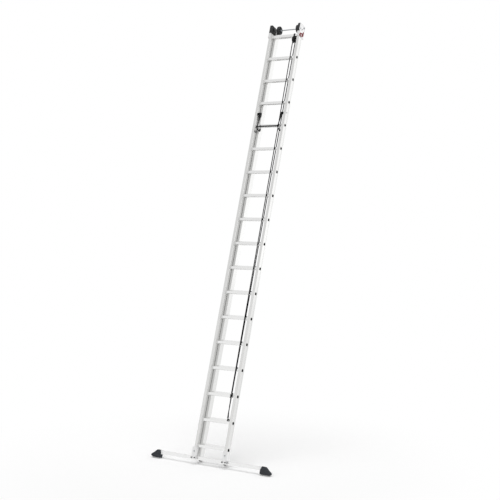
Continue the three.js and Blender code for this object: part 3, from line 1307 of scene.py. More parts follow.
@dataclass(frozen=True)
class FlyStile:
    """A fly stile: a hollow extrusion whose outer web is slotted for the base stile's rib."""

    wall: float = 2.0
    chamfer: float = 1.5
    bead: float = -0.8
    slot_floor: float = 163.5
    slot_from: float = 27.0
    slot_to: float = 37.0
    bottom: float = -140.0
    top: float = 4855.0

    def section(self) -> list[Point2]:
        """Draws the outer section of the right-hand stile.

        Returns:
            Its (x, y) corners in order.
        """
        inner, outer = LADDER.fly_inner, LADDER.fly_outer
        front = LADDER.fly_y - LADDER.stile_depth / 2
        back = LADDER.fly_y + LADDER.stile_depth / 2
        return [
            (inner, front + self.chamfer),
            (inner + self.chamfer, front),
            (outer - self.chamfer, front),
            (outer, front + self.chamfer),
            (outer, self.slot_from),
            (self.slot_floor, self.slot_from),
            (self.slot_floor, self.slot_to),
            (outer, self.slot_to),
            (outer, back - self.chamfer),
            *reversed(Flange(inner, outer, back, self.bead).points()),
            (inner, back - self.chamfer),
        ]

    def draw(self) -> Sketch:
        """Draws the right-hand stile.

        Returns:
            The sketch.
        """
        inner, outer = LADDER.fly_inner + self.wall, LADDER.fly_outer - self.wall
        front = LADDER.fly_y - LADDER.stile_depth / 2 + self.wall
        back = LADDER.fly_y + LADDER.stile_depth / 2 - self.wall
        floor = self.slot_floor - self.wall
        bore = [
            (inner, front),
            (outer, front),
            (outer, self.slot_from - self.wall),
            (floor, self.slot_from - self.wall),
            (floor, self.slot_to + self.wall),
            (outer, self.slot_to + self.wall),
            (outer, back),
            (inner, back),
        ]
        section = plan(self.section(), self.bottom)
        up = UP * (self.top - self.bottom)
        return Sketch().hollow(section, plan(bore, self.bottom), up)


@dataclass(frozen=True)
class RungCap:
    """A black cap in a rung's end, painted shade for the tube's dark open end: a stem in the tube,
    a flange on it and a button.
    """

    play: float = 0.3  # between the stem and the tube
    stem_from: float = -16.0  # from the rung's end
    stem: float = 15.0  # length
    flange: float = 15.0  # radius
    flange_top: float = 3.4
    button: float = 8.0  # radius
    button_top: float = 4.6

    def draw(self, sketch: Sketch, end: Vector, bore: float) -> None:
        """Adds the cap to a sketch.

        Args:
            sketch: The sketch that it is added to.
            end: Centre of the rung's right-hand end.
            bore: Half width of the rung's bore.
        """
        square = oblong((end.y, end.z), bore - self.play, bore - self.play)
        stem = across(square, end.x + self.stem_from)
        sketch.prism(stem, ACROSS * self.stem, corner=3.0, soften=0.8)
        flange_top = end + ACROSS * self.flange_top
        sketch.rod(end - ACROSS * 2, flange_top, self.flange, 32, 2.0)
        button_top = end + ACROSS * self.button_top
        sketch.rod(flange_top - ACROSS * 0.4, button_top, self.button, 24, 0.8)


@dataclass(frozen=True)
class Section:
    """One section of the ladder: two stiles and their rungs."""

    name: str
    body: Body
    stile: Union[BaseStile, FlyStile]
    rung: Rung
    rung_y: float
    rung_raise: float
    webs: Point2  # half widths between which the rung holes are cut
    capped: bool  # where the rungs' ends can be seen
    cap: RungCap = RungCap()
    hole: float = LADDER.rung / 2 + 0.3  # half width of the rung holes
    past_web: float = 6.0  # how far their cutter reaches past the webs

    def rung_height(self, index: int) -> float:
        """Height of a rung's centre."""
        return index * LADDER.pitch + self.rung_raise

    def hole_cutter(self) -> Sketch:
        """Draws the blocks that cut the square rung holes through a stile.

        Returns:
            The sketch of the blocks.
        """
        cutter = Sketch()
        for i in range(LADDER.rungs):
            z = self.rung_height(i)
            low = (self.webs[0] - self.past_web, self.rung_y - self.hole, z - self.hole)
            high = (self.webs[1] + self.past_web, self.rung_y + self.hole, z + self.hole)
            cutter.box(low, high, soften=0.0)
        return cutter

    def caps(self) -> Sketch:
        """Draws the caps in the rungs' right-hand ends.

        Returns:
            The sketch.
        """
        sketch = Sketch()
        bore = LADDER.rung / 2 - self.rung.wall
        for i in range(LADDER.rungs):
            end = Vector((self.rung.half_length, self.rung_y, self.rung_height(i)))
            self.cap.draw(sketch, end, bore)
        return sketch

    def build(self, bench: Bench) -> None:
        """Makes the stiles, the rungs and the caps in the rungs' ends.

        Args:
            bench: The bench that they are set on.
        """
        stiles = Pair(
            f"{self.name}_stile_extrusion",
            self.stile.draw,
            STILE_ALUMINIUM,
            Slot.PROFILE,
            self.body,
            f"{self.name}_stile",
            self.hole_cutter,
        )
        name = f"{self.name}_rung_caps"
        # Black caps in the rungs' visible ends, painted shade for their dark open ends.
        caps = Pair(name, self.caps, BLACK_CAP_PAINTED_SHADE, Slot.BLACK_PLASTIC, self.body)
        bench.place_pairs(*([stiles, caps] if self.capped else [stiles]))
        for i in range(LADDER.rungs):
            bench.place(
                self.rung.draw(self.rung_y, self.rung_height(i)),
                f"{self.name}_rung_tube_{i + 1:02d}",
                RUNG_ALUMINIUM,
                Slot.PROFILE,
                self.body,
                [f"{self.name}_rung_{i + 1:02d}"],
            )


@dataclass(frozen=True)
class StilePlugs:
    """Nylon plugs in the feet of the fly stiles: a stem in the bore, a lip and a foot under it."""

    foot: float = -157.0  # lowest point
    foot_high: float = 12.0
    foot_half: float = 16.0  # half its depth
    lip: Point2 = (8.0, 9.0)  # start above the foot's lowest point, and thickness
    stem: Point2 = (12.0, 28.0)  # the same, of the stem
    inset: float = 0.6  # of the lip, from the stile's faces
    foot_inset: Point2 = (4.0, 6.0)  # of the foot from the lip, inside and outside
    stem_inset: Point2 = (3.0, 7.0)  # the same, of the stem
    slot: Point2 = (26.6, 37.4)  # clear of the base stile's rib
    slot_floor: float = 163.0

    def draw(self) -> Sketch:
        """Draws the right-hand plug.

        Returns:
            The sketch.
        """
        front = LADDER.fly_y - LADDER.stile_depth / 2 + self.inset
        back = LADDER.fly_y + LADDER.stile_depth / 2 - self.inset
        inner, outer = LADDER.fly_inner + self.inset, LADDER.fly_outer - self.inset
        lip = [
            (inner, front),
            (outer, front),
            (outer, self.slot[0]),
            (self.slot_floor, self.slot[0]),
            (self.slot_floor, self.slot[1]),
            (outer, self.slot[1]),
            (outer, back),
            (inner, back),
        ]
        left, right = inner + self.stem_inset[0], outer - self.stem_inset[1]
        low, high = front + self.stem_inset[0], back - self.stem_inset[0]
        stem = [(left, low), (right, low), (right, high), (left, high)]
        left, right = inner + self.foot_inset[0], outer - self.foot_inset[1]
        low, high = LADDER.fly_y - self.foot_half, LADDER.fly_y + self.foot_half
        foot = [(left, low), (right, low), (right, high), (left, high)]
        sketch = Sketch()
        sketch.prism(plan(lip, self.foot + self.lip[0]), UP * self.lip[1], 1.6, 1.2)
        sketch.prism(plan(stem, self.foot + self.stem[0]), UP * self.stem[1])
        sketch.prism(plan(foot, self.foot), UP * self.foot_high, 3.0, 2.0)
        return sketch

    def build(self, bench: Bench) -> None:
        """Makes the plugs, which reach below the stiles."""
        plug = Pair("fly_foot_plug", self.draw, BLACK_NYLON, Slot.BLACK_PLASTIC, Body.FLY)
        bench.place_pairs(plug)


# ---------------------------------------------------------------- the foot of the ladder


@dataclass(frozen=True)
class StabiliserBar:
    """The rectangular tube across the foot, with a collar and a ribbed rubber foot at each end."""

    half: float = 655.0  # the tube ends inside the feet
    depth: float = 30.0
    bottom: float = -148.0
    top: float = -108.0
    wall: float = 2.5
    corner: float = 3.5
    collar_grow: float = 3.0  # of a collar's outside over the tube's
    collar_wall: float = 2.8
    collar_from: float = 599.0
    collar_long: float = 13.2
    foot_depth: float = 42.0
    foot_inner: float = 612.0
    foot_tip: float = 737.0
    sole: float = 6.0  # depth of the treads under each foot
    treads: int = 7
    tread_first: float = 4.0  # from the foot's inner end
    tread_last: float = 14.0  # from its tip
    tread_share: float = 0.6  # of the treads' pitch
    groove_top: float = -121.0
    groove_pitch: float = 12.0
    groove_count: int = 5
    groove_half: float = 2.6
    groove_deep: float = 2.0
    groove_from: float = 14.0  # from the foot's inner end
    groove_short: float = 66.0  # how far before the tip the highest one ends
    groove_slope: float = 11.0  # by which each one is longer than the one above

    @property
    def foot_half(self) -> float:
        """Half the depth of a foot."""
        return self.foot_depth / 2

    def build(self, bench: Bench) -> None:
        """Makes the bar, its collars and its feet.

        Args:
            bench: The bench that they are set on.
        """
        section = across(self.section(0.0), -self.half)
        tube = Sketch().tube(section, self.wall, ACROSS * (2 * self.half), self.corner)
        bench.place(
            tube, "stabiliser_tube", RUNG_ALUMINIUM, Slot.PROFILE, stands_for=["crossbar"]
        )
        heel = bench.floor_at(self.foot_half) + self.sole
        rubber = (FOOT_RUBBER, Slot.FOOT_RUBBER)
        foot = partial(self.foot, heel)
        bench.place_pairs(
            Pair("foot_collar", self.collar, CAST_ALUMINIUM, Slot.PROFILE),
            Pair("rubber_foot", foot, *rubber, stands_for="foot", cutter=self.grooves),
            Pair("foot_treads", partial(self.tread_blocks, heel), *rubber),
        )

    def section(self, grow: float) -> list[Point2]:
        """Draws the tube's section.

        Args:
            grow: How far it stands outside the tube's own.

        Returns:
            Its (y, z) corners in order.
        """
        middle = (self.bottom + self.top) / 2
        half_height = (self.top - self.bottom) / 2
        return oblong((0.0, middle), self.depth / 2 + grow, half_height + grow)

    def collar(self) -> Sketch:
        """Draws the collar beside the right-hand foot."""
        band = across(self.section(self.collar_grow), self.collar_from)
        return Sketch().tube(band, self.collar_wall, ACROSS * self.collar_long, corner=5.0)

    def front_view(self, lowest: float) -> list[Point2]:
        """Draws a foot from the front, with its sloping tip.

        Args:
            lowest: Height of its underside.

        Returns:
            Its (x, z) corners in order.
        """
        inner, tip = self.foot_inner, self.foot_tip
        return [
            (inner, lowest),
            (inner, self.bottom),
            (inner + 8, self.top - 14),
            (inner + 17, self.top + 4),
            (inner + 52, self.top + 4),
            (inner + 64, self.top - 4),
            (inner + 88, self.bottom + 14),
            (tip - 12, self.bottom - 4),
            (tip - 2, self.bottom - 12),
            (tip, lowest + 12),
            (tip - 9, lowest),
        ]

    def foot(self, heel: float) -> Sketch:
        """Draws the body of the right-hand foot, whose level underside the treads stand under."""
        outline = [Vector((x, -self.foot_half, z)) for x, z in self.front_view(heel)]
        return Sketch().prism(outline, AWAY * self.foot_depth, corner=5.0, soften=3.0)

    def tread_blocks(self, heel: float) -> Sketch:
        """Draws the treads under the right-hand foot, which stands on their rear edges.

        Args:
            heel: Height of the foot's underside.

        Returns:
            The sketch.
        """
        sketch = Sketch()
        first = self.foot_inner + self.tread_first
        pitch = (self.foot_tip - self.tread_last - first) / self.treads
        for i in range(self.treads):
            start = first + i * pitch
            end = start + self.tread_share * pitch
            low = (start, 1.5 - self.foot_half, heel - self.sole + 0.2)
            sketch.box(low, (end, self.foot_half, heel + 4), 0.8)
        return sketch

    def grooves(self) -> Sketch:
        """Draws what is cut out of the right-hand foot: grip grooves along its front and back.

        Returns:
            The sketch of the solids.
        """
        cutter = Sketch()
        start = self.foot_inner + self.groove_from
        for i in range(self.groove_count):
            z = self.groove_top - i * self.groove_pitch
            end = self.foot_tip - self.groove_short + i * self.groove_slope
            for y in (-self.foot_half, self.foot_half):
                low = (start, y - self.groove_deep, z - self.groove_half)
                high = (end, y + self.groove_deep, z + self.groove_half)
                cutter.box(low, high, soften=1.2)
        return cutter


@dataclass(frozen=True)
class StileBracket:
    """The channel that carries a base stile on the bar, clamped by two knobs."""

    front: float = -42.0
    plate: float = 3.4
    left: float = 163.0
    right: float = 215.0
    top: float = -16.0
    bottom: float = -145.0
    play: float = 0.4  # between the channel's walls and the stile
    outer_wall_back: float = 40.0
    inner_wall_back: float = 15.0
    seat_bottom: float = -107.6  # of the plate between bar and stile
    seat_top: float = -103.6
    passage_half: float = 15.4  # half depth of the bar's passage
    slot_x: Point2 = (186.0, 192.0)
    slot_z: Point2 = (-84.0, -40.0)
    slot_bolt_z: float = -62.0
    slot_bolt: Bolt = Bolt(8.0, 1.6, 6.5, 6.5, sunk=2.0, washer_soften=0.4)
    knobs: Point2 = (170.0, 208.0)
    knob_z: float = -130.0
    lobes: int = 5
    lobe_radius: float = 2.4
    lobe_reach: float = 4.3  # of a lobe's middle from the knob's
    lobe_ends: Point2 = (4.5, 10.5)  # in front of the plate
    neck: Point2 = (6.0, 4.4)  # end in front of the plate, and radius
    core_ends: Point2 = (4.0, 11.0)
    core_radius: float = 5.2

    def build(self, bench: Bench) -> None:
        """Makes the channel, its knobs and its bolts on both sides.

        Args:
            bench: The bench that they are set on.
        """
        bench.place_pairs(
            Pair(
                "stile_channel",
                self.channel,
                CAST_ALUMINIUM,
                Slot.CAST,
                stands_for="stile_bracket",
                cutter=self.slots,
            ),
            Pair("clamp_knobs", self.knob_pair, BLACK_NYLON, Slot.BLACK_PLASTIC),
            Pair("channel_bolts", self.bolts, ZINC_STEEL, Slot.ZINC),
        )

    def channel(self) -> Sketch:
        """Draws the right-hand channel: front plate, two walls and the seat on the bar.

        Returns:
            The sketch.
        """
        sketch = Sketch()
        front, low = self.front + 0.5, self.bottom + 0.5
        outer = LADDER.base_outer + self.play
        inner = LADDER.base_inner - self.play
        rear = self.front + self.plate
        sketch.box((self.left, self.front, self.bottom), (self.right, rear, self.top), 1.2)
        sketch.box((outer, front, low), (outer + self.plate, self.outer_wall_back, self.top), 0.8)
        sketch.box((inner - self.plate, front, low), (inner, self.inner_wall_back, self.top), 0.8)
        sketch.box((inner - 1, front, self.seat_bottom), (outer + 1, 39.5, self.seat_top))
        return sketch

    def slots(self) -> Sketch:
        """Draws what is cut out of the channel: the bar's passage and the front plate's slot.

        Returns:
            The sketch of the solids.
        """
        cutter = Sketch()
        half, roof = self.passage_half, self.seat_bottom - 0.1
        cutter.box((self.left - 9, -half, self.bottom - 5), (self.right + 9, half, roof), 0.0)
        (start, end), (low, high) = self.slot_x, self.slot_z
        cutter.box((start, self.front - 4, low), (end, self.front + 6, high), 0.0)
        return cutter

    def knob_pair(self) -> Sketch:
        """Draws the two lobed clamp knobs.

        Returns:
            The sketch.
        """
        sketch = Sketch()
        for x in self.knobs:
            centre = Vector((x, self.front, self.knob_z))
            sketch.rod(centre, centre - AWAY * self.neck[0], self.neck[1], 20, 0.6)
            start, end = (centre - AWAY * out for out in self.core_ends)
            sketch.rod(start, end, self.core_radius, 20, 1.2)
            for i in range(self.lobes):
                turn = 2 * math.pi * i / self.lobes
                way = Vector((math.cos(turn), 0.0, math.sin(turn)))
                lobe = centre + way * self.lobe_reach
                start, end = (lobe - AWAY * out for out in self.lobe_ends)
                sketch.rod(start, end, self.lobe_radius, 14, 0.9)
        return sketch

    def bolts(self) -> Sketch:
        """Draws the bolt through the plate's slot and the clamp bolts from the knobs to the bar.

        Returns:
            The sketch.
        """
        sketch = Sketch()
        middle = sum(self.slot_x) / 2
        self.slot_bolt.draw(sketch, Vector((middle, self.front, self.slot_bolt_z)), -AWAY)
        for x in self.knobs:
            at_bar = Vector((x, -15.5, self.knob_z))
            sketch.rod(at_bar, Vector((x, self.front, self.knob_z)), 3.6, 14, 0.0)
        return sketch


# ---------------------------------------------------------------- the head of the ladder


@dataclass(frozen=True)
class TopGuide:
    """The silver sleeve on a base stile's top and the red guide round the top rung's end."""

    bottom: float = 4736.0
    top: float = 4797.0
    cheek_top: float = 4819.0
    front: float = -48.0
    back: float = 65.0
    outer: float = LADDER.base_outer + 0.4
    cheek_from: float = 0.2  # from the stile's outer face
    cheek_thick: float = 3.0
    mouth_radius: float = 14.0
    rung_cap: Bolt = Bolt(
        13.4, 3.8, 7.0, 6.4, sunk=-0.6, lap=0.4, washer_sides=40, washer_soften=0.8
    )
    guide_from: float = 2.6  # from the stile's outer face
    guide_thick: float = 4.0
    guide_outline: tuple[Point2, ...] = (
        (-47, 4742),
        (-32, 4776),
        (2, 4784),
        (34, 4797),
        (37, 4817),
        (48, 4817),
        (50, 4768),
        (36, 4750),
        (-8, 4737),
        (-38, 4737),
    )

    def build(self, bench: Bench) -> None:
        """Makes sleeve, cheek plate, guide and cap on both sides.

        Args:
            bench: The bench that they are set on.
        """
        silver, guide = (CAST_ALUMINIUM, Slot.PROFILE), (RED_NYLON, Slot.RED)
        mouth = self.mouth
        bench.place_pairs(
            Pair("stile_guide", self.guide, *guide, stands_for="top_guide", cutter=mouth),
            Pair("guide_sleeve", self.sleeve, *silver),
            Pair("guide_cheek", self.cheek, *silver, cutter=mouth),
            Pair("guide_cap", self.cap, CAST_ALUMINIUM, Slot.ZINC),
        )

    @property
    def rung_end(self) -> Vector:
        """Where the top rung's axis leaves the stile."""
        return Vector((self.outer, 0.0, LADDER.top_rung))

    def cheek(self) -> Sketch:
        """Draws the silver cheek plate on the outer face.

        Returns:
            The sketch.
        """
        outline = [
            (self.front, self.bottom),
            (self.back, self.bottom),
            (self.back, self.cheek_top),
            (self.front, self.cheek_top),
        ]
        plate = across(outline, self.outer + self.cheek_from)
        return Sketch().prism(plate, ACROSS * self.cheek_thick, corner=11.0, soften=0.8)

    def guide(self) -> Sketch:
        """Draws the red guide on the cheek plate, with its horn towards the fly."""
        outline = across(self.guide_outline, self.outer + self.guide_from)
        return Sketch().prism(outline, ACROSS * self.guide_thick, corner=4.0, soften=1.0)

    def mouth(self) -> Sketch:
        """Draws the rod that cuts the round opening about the rung's end."""
        end = self.rung_end
        return Sketch().rod(end - ACROSS * 4, end + ACROSS * 12, self.mouth_radius, 40, 0.0)

    def cap(self) -> Sketch:
        """Draws the pale cap and the screw in the rung's end."""
        return self.rung_cap.draw(Sketch(), self.rung_end, ACROSS)

    def sleeve(self) -> Sketch:
        """Draws the sleeve: a lip in front of the stile and a block beside the fly.

        Returns:
            The sketch.
        """
        sketch = Sketch()
        half = LADDER.stile_depth / 2 + 0.4
        inner = LADDER.base_inner
        sketch.box((inner + 2, self.front, self.bottom), (self.outer, -half, self.top), 1.0)
        sketch.box((inner + 1, half, self.bottom), (self.outer, self.back, self.top), 1.0)
        return sketch


@dataclass(frozen=True)
class Head:
    """The fly's head: two brackets, an axle and two wall wheels."""

    front: float = -54.0
    back: float = 74.0
    bottom: float = 4800.0
    top: float = 4894.0
    corner: float = 24.0
    play: float = 0.3  # between a bracket and the fly stile
    block_inset: float = 1.0  # of the block's outline inside the cheek plate's
    axle_y: float = 50.0
    axle_z: float = 4870.0
    axle_radius: float = 6.0
    axle_half: float = 205.5
    collar: Point2 = (96.0, 109.4)  # start and end of a collar on the axle
    collar_radius: float = 10.5
    axle_bolt: Bolt = Bolt(
        12.0, 1.5, 9.5, 5.6, lap=0.3, washer_sides=28, washer_soften=0.4, head_soften=0.7
    )
    plate_bolt: Bolt = Bolt(8.0, 1.2, 6.4, 4.8)
    plate_bolts_y: Point2 = (-30.0, 8.0)
    plate_bolts_up: float = 31.0  # above the bracket's bottom
    wheel_x: float = 124.5
    wheel_radius: float = 49.0
    wheel_half: float = 14.5
    tread: float = 13.0  # depth of the wheel's tread
    shoulder: float = 5.0  # radius of its shoulders
    hub: float = 14.5  # radius
    web_half: float = 4.5  # half thickness of the disc between hub and rim
    ribs: int = 6
    rib_half: float = 2.2  # half thickness
    facets: int = 72  # round a wheel
    cheek: float = 2.6  # thickness of the cheek plates

    @property
    def axle(self) -> Vector:
        """The axle's middle."""
        return Vector((0.0, self.axle_y, self.axle_z))

    @property
    def wheel_centre(self) -> Vector:
        """The right-hand wheel's centre."""
        return self.axle + ACROSS * self.wheel_x

    def side_view(self, grow: float) -> list[Point2]:
        """Draws the bracket from the side.

        Args:
            grow: How far its outline stands outside the bracket's own.

        Returns:
            Its (y, z) corners in order.
        """
        rounded = arc((self.axle_y, self.axle_z), self.corner + grow, 0, 90, 10)
        return [
            (self.front - grow, self.bottom - grow),
            (self.back + grow, self.bottom - grow),
            *rounded,
            (self.front + 6, self.top + grow),
            (self.front - grow, self.top - 10),
        ]

    def build(self, bench: Bench) -> None:
        """Makes the brackets, the axle and the wheels.

        Args:
            bench: The bench that they are set on.
        """
        fly, steel = Body.FLY, Slot.BLACK_STEEL
        wheels = {Side.RIGHT: Body.WHEEL_RIGHT, Side.LEFT: Body.WHEEL_LEFT}
        bench.place_pairs(
            Pair("head_block", self.block, BLACK_NYLON, steel, fly, "head_bracket"),
            Pair("head_cheek_plate", self.cheek_plate, CAST_ALUMINIUM, Slot.CAST, fly),
            Pair("head_bolts", self.fasteners, ZINC_STEEL, Slot.ZINC, fly),
            Pair("wheel_tread", self.tyre, WHEEL_TREAD, Slot.WHEEL, wheels, "wall_wheel"),
            Pair("wheel_disc", self.disc, GREY_NYLON, Slot.WHEEL, wheels),
        )
        rod = Sketch()
        reach = ACROSS * self.axle_half
        rod.rod(self.axle - reach, self.axle + reach, self.axle_radius, 28, 0.8)
        for way in (-ACROSS, ACROSS):
            start, end = (self.axle + way * x for x in self.collar)
            rod.rod(start, end, self.collar_radius, 28, 1.0)
        bench.place(rod, "wheel_axle_rod", ZINC_STEEL, Slot.ZINC, Body.FLY, ["wheel_axle"])

    def block(self) -> Sketch:
        """Draws the block between the fly stile and the cheek plate.

        Returns:
            The sketch.
        """
        inner = LADDER.fly_outer + self.play
        width = LADDER.base_outer - self.cheek - inner
        outline = across(self.side_view(-self.block_inset), inner)
        return Sketch().prism(outline, ACROSS * width, soften=1.5)

    def cheek_plate(self) -> Sketch:
        """Draws the silver plate on the block's outer face."""
        outline = across(self.side_view(0.0), LADDER.base_outer - self.cheek)
        return Sketch().prism(outline, ACROSS * self.cheek, soften=0.7)

    def fasteners(self) -> Sketch:
        """Draws the axle nut and the two bolt heads on the cheek plate.

        Returns:
            The sketch.
        """
        sketch = Sketch()
        face = LADDER.base_outer
        self.axle_bolt.draw(sketch, Vector((face, self.axle_y, self.axle_z)), ACROSS)
        for y in self.plate_bolts_y:
            at = Vector((face, y, self.bottom + self.plate_bolts_up))
            self.plate_bolt.draw(sketch, at, ACROSS)
        return sketch

    def tyre(self) -> Sketch:
        """Draws a wheel's polyurethane tread.

        Returns:
            The sketch.
        """
        half, radius, bend = self.wheel_half, self.wheel_radius, self.shoulder
        crown = [
            (radius - self.tread, half - 1),
            *reversed(arc((radius - bend, half - bend), bend, 0, 90, 5)),
        ]
        return Sketch().turned(crown + opposite(crown), self.wheel_centre, self.facets)

    def disc(self) -> Sketch:
        """Draws a wheel's nylon disc: hub, web, rim and the ribs between them.

        Returns:
            The sketch.
        """
        half, rim = self.wheel_half, self.wheel_radius - self.tread
        profile = [
            (self.axle_radius + 0.3, -half),
            (self.hub - 1.5, -half),
            (self.hub, -half + 2),
            (self.hub, -self.web_half),
            (rim - 4, -self.web_half),
            (rim - 3, 2.5 - half),
            (rim + 0.2, 2.5 - half),
        ]
        centre = self.wheel_centre
        sketch = Sketch().turned(profile + opposite(profile), centre, self.facets)
        for i in range(self.ribs):
            turn = 2 * math.pi * (i + 0.5) / self.ribs
            way = Vector((0.0, math.cos(turn), math.sin(turn)))
            aside = ACROSS.cross(way) * self.rib_half
            root, tip = centre + way * (self.hub - 1), centre + way * (rim - 3.3)
            rib = [root - aside, tip - aside, tip + aside, root + aside]
            reach = half - 3.5
            sketch.prism([p - ACROSS * reach for p in rib], ACROSS * (2 * reach), soften=0.5)
        return sketch


# ---------------------------------------------------------------- rope gear


@dataclass(frozen=True)
class Pulley:
    """The block under the top base rung, its strap and its sheave."""

    x: float = 123.0
    z: float = 4706.0
    radius: float = 33.0
    pitch: float = 29.0  # radius at the rope's centre
    half: float = 9.0  # half the sheave's thickness
    gap: float = 9.6  # from its middle to the cheeks
    cheek: float = 4.0  # thickness of the cheeks
    cheek_reach: float = 36.0  # radius of their lower end
    cheek_half: float = 20.0  # half their depth at the top
    under_rung: float = 0.7  # play between the cheeks and the rung
    bridge_half: float = 15.0  # half the depth of the plate between them
    pin_radius: float = 4.0
    pin_head: Point2 = (7.0, 2.8)  # radius and height
    bolt_head: Point2 = (6.0, 5.0)  # the same, of the bolt in the strap
    strap: float = 3.6  # thickness, also of the plate between the cheeks
    strap_half: float = 8.5
    strap_play: float = 0.4  # between strap and rung
    hub: float = 10.0
    recess: Point2 = (11.0, 20.0)  # radii between which the sheave's faces are hollowed

    @property
    def pin(self) -> Vector:
        """The middle of the sheave's pin."""
        return Vector((self.x, 0.0, self.z))

    def build(self, bench: Bench) -> None:
        """Makes the block, the strap, the fasteners and the sheave.

        Args:
            bench: The bench that they are set on.
        """
        rung_below = LADDER.top_rung - LADDER.rung / 2
        top = rung_below - self.under_rung
        bow = arc((0.0, self.z), self.cheek_reach, 172, 368, 24)
        side_view = [(-self.cheek_half, top), *bow, (self.cheek_half, top)]
        block = Sketch()
        for start in (-self.gap - self.cheek, self.gap):
            block.prism(across(side_view, self.x + start), ACROSS * self.cheek, soften=0.9)
        width, depth = self.gap + self.cheek - 1, self.bridge_half
        low = (self.x - width, -depth, top - self.strap)
        block.box(low, (self.x + width, depth, top))
        bench.place(
            block, "pulley_cheeks", BLACK_STEEL, Slot.BLACK_STEEL, stands_for=["pulley_block"]
        )
        bench.place(
            self.hanger(rung_below),
            "pulley_strap",
            BLACK_STEEL,
            Slot.BLACK_STEEL,
            stands_for=["pulley_hanger"],
        )
        bench.place(self.fasteners(rung_below), "pulley_bolts", ZINC_STEEL, Slot.ZINC)
        bench.place(
            self.sheave(),
            "pulley_wheel",
            GREY_NYLON,
            Slot.GREY,
            Body.SHEAVE,
            ["pulley_sheave"],
        )

    def hanger(self, rung_below: float) -> Sketch:
        """Draws the strap over the rung as a bent plate.

        Args:
            rung_below: Height of the rung's underside.

        Returns:
            The sketch.
        """
        inside = LADDER.rung / 2 + self.strap_play
        outside = inside + self.strap
        foot, over = rung_below - 5, rung_below + LADDER.rung
        bent = [
            (-outside, foot),
            (-outside, over + 1),
            (-outside + 3, over + 4),
            (outside - 3, over + 4),
            (outside, over + 1),
            (outside, foot),
            (inside, foot),
            (inside, over + self.strap_play),
            (-inside, over + self.strap_play),
            (-inside, foot),
        ]
        half = self.strap_half
        return Sketch().prism(across(bent, self.x - half), ACROSS * (2 * half), soften=0.5)

    def fasteners(self, rung_below: float) -> Sketch:
        """Draws the pin with its heads and the bolt that closes the strap.

        Args:
            rung_below: Height of the rung's underside.

        Returns:
            The sketch.
        """
        sketch = Sketch()
        width = self.gap + self.cheek
        reach = ACROSS * (width + 0.5)
        sketch.rod(self.pin - reach, self.pin + reach, self.pin_radius, 20, 0)
        radius, high = self.pin_head
        for way in (-1, 1):
            face = self.pin + ACROSS * (way * width)
            sketch.rod(face, face + ACROSS * (way * high), radius, 6, 0.5)
        at = Vector((self.x, 0.0, rung_below + LADDER.rung + 3.5))
        radius, high = self.bolt_head
        return sketch.rod(at, at + UP * high, radius, 6, 0.6)

    def sheave(self) -> Sketch:
        """Draws the sheave, grooved for the rope and hollowed on both faces.

        Returns:
            The sketch.
        """
        half = self.half
        start, end = self.recess
        face = [
            (self.pin_radius + 0.3, -half),
            (self.hub, -half),
            (start, -half + 2),
            (end, -half + 2),
            (end + 1.5, -half),
            (self.radius - 0.8, -half),
            (self.radius, -half + 0.8),
            (self.radius, -half + 2.2),
        ]
        groove = reversed(arc((self.pitch, 0.0), LaidRope().radius + 0.2, 105, 255, 10))
        return Sketch().turned([*face, *groove, *opposite(face)], self.pin, 64)


